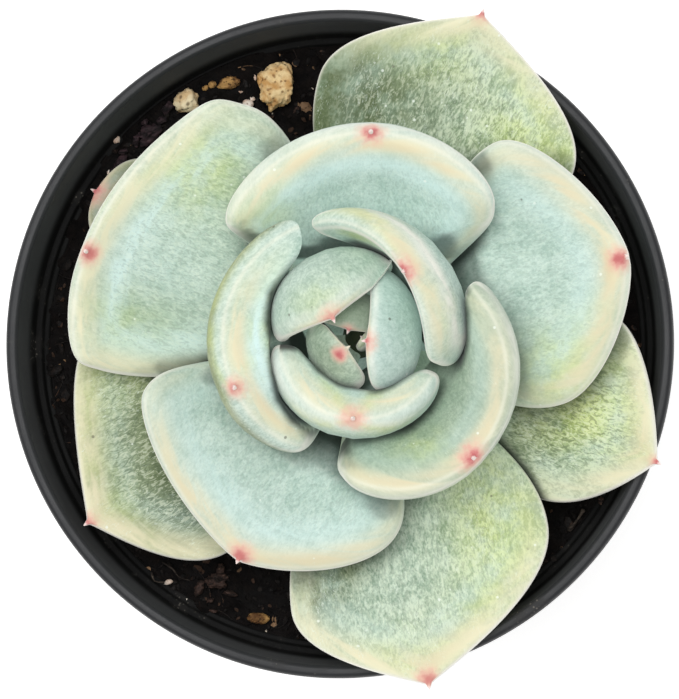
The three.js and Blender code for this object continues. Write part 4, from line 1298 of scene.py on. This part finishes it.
make_twig("twig_right_stick", [(37.4, 3.4, 65.3), (39, 1.3, 65.6), (40.5, -1.2, 65.7)], 0.8, 3, "twig_right")
make_twig("twig_low_stick", [(33, -22.4, 65.3), (32, -24, 65.2), (30.8, -25.4, 65.2)], 0.7, 8, "twig_low")
make_twig("root_right", [(40.4, -4.2, 65.9), (40.7, -6.4, 66), (40.2, -8.2, 65.8)], 0.3, 5)
make_twig("root_left", [
    (-24.9, -29.7, 65.9), (-23.4, -30.6, 66.3), (-22.4, -31.8, 66.1), (-21, -32.2, 65.9),
], 0.28, 6)
make_twig("root_bent", [(-26.3, -31.1, 65.8), (-25.8, -32.3, 66.2), (-24.5, -32.5, 65.9)], 0.3, 7)


# Stem
def stem_material():
    material, nodes = new_material("green stem")
    where = nodes.object_place()
    grit = nodes.group(GRIT, {"Place": where, "Size": 0.002})
    bands = nodes.noise(nodes.stretched(where, (0.6, 0.6, 2.0)), 0.002, 4.0, 0.6)
    tone = nodes.blend(nodes.span(bands, 0.35, 0.65), paint("#6d7a4c"), paint("#9aa878"))
    tone = nodes.tint(tone, nodes.span(grit["Fine"], 0.6, 0.75, 0, 0.6), "#6b5238")
    # The growing tip lies deep in shade between the leaves
    tone = nodes.tint(tone, nodes.span(nodes.height(), 0.074, 0.08, 0, 0.85), "#161c12")
    finish(nodes, tone, nodes.span(bands, 0.3, 0.7, 0.6, 0.8), grit["Height"], (0.5, 0.0002))
    return material


def make_stem():
    """The stem, turned and then made a little knobbly between its two ends."""
    vertices, faces = turned_shape(rounded(STEM_PROFILE, 1.2, 5), 72, STEM_AT)
    for i, (x, y, z) in enumerate(vertices):
        if 52 < z < STEM_PROFILE[-1][1] - 1:
            turn = math.atan2(y - STEM_AT[1], x - STEM_AT[0])
            swell = 0.12 * math.sin(3 * turn + 1.9 * z) + 0.06 * math.sin(7 * turn - 3 * z)
            vertices[i][:2] += swell * np.array([math.cos(turn), math.sin(turn)])
    seat(new_piece("stem_core", vertices, faces, stem_material()), "stem", "stem")


make_stem()


# Floor and light. Softboxes: name, place and size in metres, watts
WORLD_LIGHT = 0.34
SOFTBOXES = [
    ("overhead", (-0.05, 0.08, 1.0), 0.6, 6.3),
    ("left", (-0.7, 0.3, 0.8), 0.5, 1.0),
]


def make_stage():
    material, nodes = new_material("pale floor")
    where = nodes.object_place()
    tone = nodes.blend(nodes.noise(where, 0.3, 2.0), paint("#f6f6f5"), paint("#fafaf9"))
    finish(nodes, tone, 0.7, nodes.noise(where, 0.002), (0.02, 0.0002), Emission_Color=(1, 1, 1, 1),
           Emission_Strength=0.55)
    bpy.ops.mesh.primitive_plane_add(size=8, location=(0, 0, -0.0001))
    floor = bpy.context.object
    floor.name = "floor"
    floor.data.materials.append(material)
    world = bpy.data.worlds.new("studio")
    world.use_nodes = True
    world.node_tree.nodes["Background"].inputs[0].default_value = (1, 1, 1, 1)
    world.node_tree.nodes["Background"].inputs[1].default_value = WORLD_LIGHT
    bpy.context.scene.world = world
    for name, place, size, power in SOFTBOXES:
        data = bpy.data.lights.new(name, "AREA")
        data.size = size
        data.energy = power
        lamp = bpy.data.objects.new(name, data)
        aim = Vector(place) - Vector((0, 0, POT_HEIGHT * MM))
        lamp.matrix_world = Matrix.Translation(place) @ aim.to_track_quat("Z", "Y").to_matrix().to_4x4()
        bpy.context.scene.collection.objects.link(lamp)
    bpy.context.scene.view_settings.view_transform = "Standard"


make_stage()
